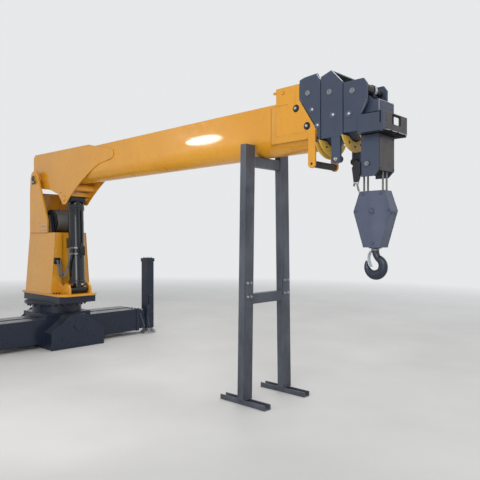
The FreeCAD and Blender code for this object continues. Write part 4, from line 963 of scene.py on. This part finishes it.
def bracket():
    """The jib bracket round the head's front: walls, a front plate with its window, and a floor."""
    window = (-32, -6, 66, 50)
    walls = Piece("bracket_walls", "head", "slate_paint")
    walls.pad(oblong(92, 68), 11, (4602, -BRACKET_WALL, BRACKET_Z), NEAR)
    walls.pad([(-92.5, -68), (92.5, -68), (92.5, 68), (11.5, 68), (11.5, 10), (-70.5, 10), (-70.5, 68),
               (-92.5, 68)], 12, (4601.5, BRACKET_WALL, BRACKET_Z), FAR, UP, 1)
    walls.pad([(-21, -60), (21, -60), (21, 68), (-21, 68)], 12, (4690, -151, BRACKET_Z), FORWARD)
    for z in (2042, 2066, 2090, 2114, 2138):
        walls.bolt((4702, -137, z), FORWARD, 3.1, False)
    front = Piece("bracket_front", "head", "cover_paint")
    front.framed((-130, -52, 172, 68), window, 11, (4688, 0, BRACKET_Z), FORWARD)
    seams = Piece("bracket_seams", "head", "shadow_paint")
    seams.pad(oblong(4, 39), 1, (4680, -171, 2112), NEAR, UP, 0.3)
    for z in (2149.5, 2020.5):
        seams.pad(oblong(70, 2.5), 1, (4608, -171, z), NEAR, UP, 0.3)
    seams.framed((-42, -6, 76, 60), window, 1, (4699, 0, BRACKET_Z), FORWARD, 0.3)
    # The floor is in the dark shadow paint: painted shade in the recess under the front plate.
    floor = Piece("bracket_floor", "head", "shadow_paint")
    floor.pad([(-91, -160), (94, -160), (94, 160), (-91, 160), (-91, 106), (36, 106), (36, -106),
               (-91, -106)], 12, (4600, 0, 2017), UP, FAR, 1)
    # Pale lines on the bracket's lower front edge and the head's front edges: painted highlight, partly
    # worn paint.
    lip = Piece("bracket_lip", "head", "edge_wear_and_highlight")
    for y1, y2 in ((-124, -72), (-40, 22), (48, 122), (136, 158)):
        lip.tube([(4699, y1, 2034), (4699, (y1 + y2) / 2, 2033), (4699, y2, 2034)], 2.6, 8, 2)
    lip.tube([(HEAD_FRONT, -103, 2246), (HEAD_FRONT + 1, 0, 2248), (HEAD_FRONT, 103, 2246)], 2.2, 8, 3)
    lip.tube([(HEAD_FRONT, -103, 2160), (HEAD_FRONT, -103, 2200), (HEAD_FRONT, -103, 2246)], 1.6, 8, 2)


def head_details():
    """Beads, axle ends, shoulder plates and the front cover of the boom head."""
    beads = Piece("head_welds", "head", "slate_paint")
    bolts = Piece("head_bolts", "head", "dull_steel")
    for side, out in FACES:
        for x, y, z in ((4511, HEAD_FACE + 1, 2015), (4511, HEAD_FACE + 1, 2155), (4500, 92, 2251)):
            beads.weld([(x, y * side, z), (4632, y * side, z)], 3)
        bolts.turned([(17, 0), (17, 3), (15, 4), (12, 4), (11, 2.5), (8, 2.5), (7, 6), (0, 6)],
                     (SHEAVES_X, 116 * side, HEAD_AXLE_Z), out, 28)
        bolts.bolt((4604, 60 * side, 2250), UP, 8)
        shoulder = [(-40, -48), (-40, 36), (-14, 86), (20, 86), (44, 56), (44, -48)]
        beads.pad([(-side * x, z) for x, z in shoulder], 5, (4540, 98.5 * side, 2200), out, UP, 1)
    cover = Piece("head_cover", "head", "cover_paint")
    cover.pad(oblong(101, 122), 4, (HEAD_FRONT, 0, 1893), FORWARD, UP, 1)
    for y, z in ((-88, 1786), (88, 1786), (-88, 1996), (88, 1996)):
        cover.bolt((HEAD_FRONT + 4, y, z), FORWARD, 5, False)


def rope_end_details():
    """The rope's dead end under its wedge socket, with its clips and loose wires."""
    rope = Piece("dead_end_rope", "head", "wire_rope")
    rope.tube([(4470, -105, 1720), (4468, -105, 1690), (4474, -106, 1660), (4482, -107, 1640)], 7, 8, 5)
    rope.tube([(4452, -105, 1712), (4447, -105, 1692), (4440, -104, 1674)], 7, 8, 5)
    clip = Piece("dead_end_clip", "head", "bolt_steel")
    clip.hoop((4469, -105, 1700), DOWN, 6.8, 12, 10, 16)
    clip.hoop((4450, -105, 1702), (-0.2, 0, -1), 6.8, 11, 8, 16)
    clip.tube([(4482, -107, 1641), (4488, -100, 1632), (4480, -96, 1628), (4474, -102, 1634),
               (4481, -108, 1638)], 2.2, 6, 4)


def tip_sheave_details():
    """Rims and hubs of the sheave at the tip of section 4."""
    x, z = TIP_SHEAVE
    tip = Piece("tip_sheave_rim", "section_4", "slate_paint")
    for side in SIDES:
        for inner, outer in ((35.5, 39), (24, 29)):
            tip.hoop((x, 13 * side, z), (0, side, 0), inner, outer, 3, 36)
    hub = Piece("tip_sheave_hub", "section_4", "black_paint")
    reach = 115
    for radius, side in ((34, -1), (20, 1)):
        hub.turned([(radius, 0), (radius, reach - 3), (radius - 3, reach), (17.3, reach),
                    (17.3, reach - 4)], (x, 13 * side, z), (0, side, 0), 28)


def block_details():
    """Cover bolts and beads of the hook block, and the bearing, latch and pin of the hook."""
    marks = Piece("block_marks", "hook_block", "block_paint")
    for side, out in FACES:
        marks.hoop((SHEAVES_X, BLOCK_FACE * side, BLOCK_MID), out, 18, 27, 3, 32)
        marks.turned([(10, 0), (10, 3), (8, 4.5), (0, 4.5)],
                     (SHEAVES_X, (BLOCK_FACE + 8) * side, BLOCK_MID), out)
        for x, z in ((4422, 1504), (4674, 1504), (4556, 1276), (4480, 1620), (4616, 1620)):
            marks.bolt((x, BLOCK_FACE * side, z), out, 7)
        for half, z in ((93, BLOCK_TOP), (65, BLOCK_LOW)):
            for end in SIDES:
                marks.weld([(SHEAVES_X + BLOCK_HALF * end, (BLOCK_FACE - 1) * side, BLOCK_MID),
                            (SHEAVES_X + half * end, (BLOCK_FACE - 1) * side, z)], 2.6, 9)
    for end in SIDES:
        for y in (-20, 20):
            place = (SHEAVES_X + (BLOCK_HALF - 1.5) * end, y, BLOCK_MID - 20)
            marks.bolt(place, (end, 0, -0.25), 6, False)
    marks.hoop((SHEAVES_X, 0, BLOCK_LOW), DOWN, 25, 44, 7, 36)
    latch = Piece("hook_latch", "hook", "latch_zinc")
    line = [(-24, 106), (-40, 96), (-50, 70), (-50, 40), (-42, 12), (-33, -4)]
    outline = [(a + 3, b + 1) for a, b in line] + [(a - 3, b - 1) for a, b in reversed(line)]
    latch.pad(outline, 38, (SHEAVES_X, 19, HOOK_Z), NEAR, UP, 0.8)
    latch.turned([(6, 0), (6, 44), (4.5, 46), (0, 46)], (SHEAVES_X - 30, 23, HOOK_Z + 102), NEAR, 14)
    collar = Piece("hook_collar", "hook", "steel")
    collar.turned([(24.2, 0), (30, 2), (30, 9), (24.2, 12)], (SHEAVES_X, 0, HOOK_Z + 110), UP, 32)


def stand_inside(height):
    """The half width between the trestle's leaning legs at a height."""
    return 195 - (195 - 158) * (height - 40) / 2020


def trestle_details():
    """Weld beads, splice plates and small clips on the trestle."""
    splice_z = 905
    splice_mid = stand_inside(splice_z) + STAND_CHANNEL_MID
    beads = Piece("stand_welds", "base", "grey_steel")
    plates = Piece("stand_splices", "base", "grey_steel")
    for side in SIDES:
        for top in (1969.7, 870):
            for z in (top, top - 80):
                y = (stand_inside(z) - 1) * side
                beads.weld([(3507, y, z), (3563, y, z)], 4)
            beads.weld([(STAND_FACE, (stand_inside(z) - 1) * side, z) for z in (top - 80, top)], 4)
        low = stand_inside(45)
        beads.weld([(STAND_FACE, low * side, 42), (STAND_FACE, (low + 108) * side, 42)], 4)
        plates.pad(oblong(40, 75), 6, (STAND_FACE, splice_mid * side, splice_z), FORWARD)
        for end in SIDES:
            place = (STAND_X + 190 * end, (stand_inside(0) + STAND_CHANNEL_MID) * side, 8)
            plates.pad(oblong(30, 14), 5, place, UP, FAR, 1)
    heads = Piece("stand_bolts", "base", "steel")
    for side in SIDES:
        for z in (850, 960):
            for y in (-20, 20):
                heads.bolt((STAND_FACE + 6, (splice_mid + y) * side, z), FORWARD, 8)
        for end in SIDES:
            heads.bolt((STAND_X + 190 * end, (195 + STAND_CHANNEL_MID) * side, 13), UP, 8)


set_camera()
dress_nodes()
studio_floor()
studio_sky()
for row in LAMPS:
    studio_lamp(*row)
bpy.context.scene.view_settings.view_transform = "Standard"
random.seed(7)
base_details()
housing_details()
for row in OUTRIGGERS:
    leg_details(*row)
column_details()
winch_details()
ram_details()
collar_details()
boom_beads()
fairing_details()
boom_rear_details()
section_details()
bracket()
head_details()
rope_end_details()
tip_sheave_details()
block_details()
trestle_details()
for piece in pieces:
    piece.build()
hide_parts("jib_bracket")
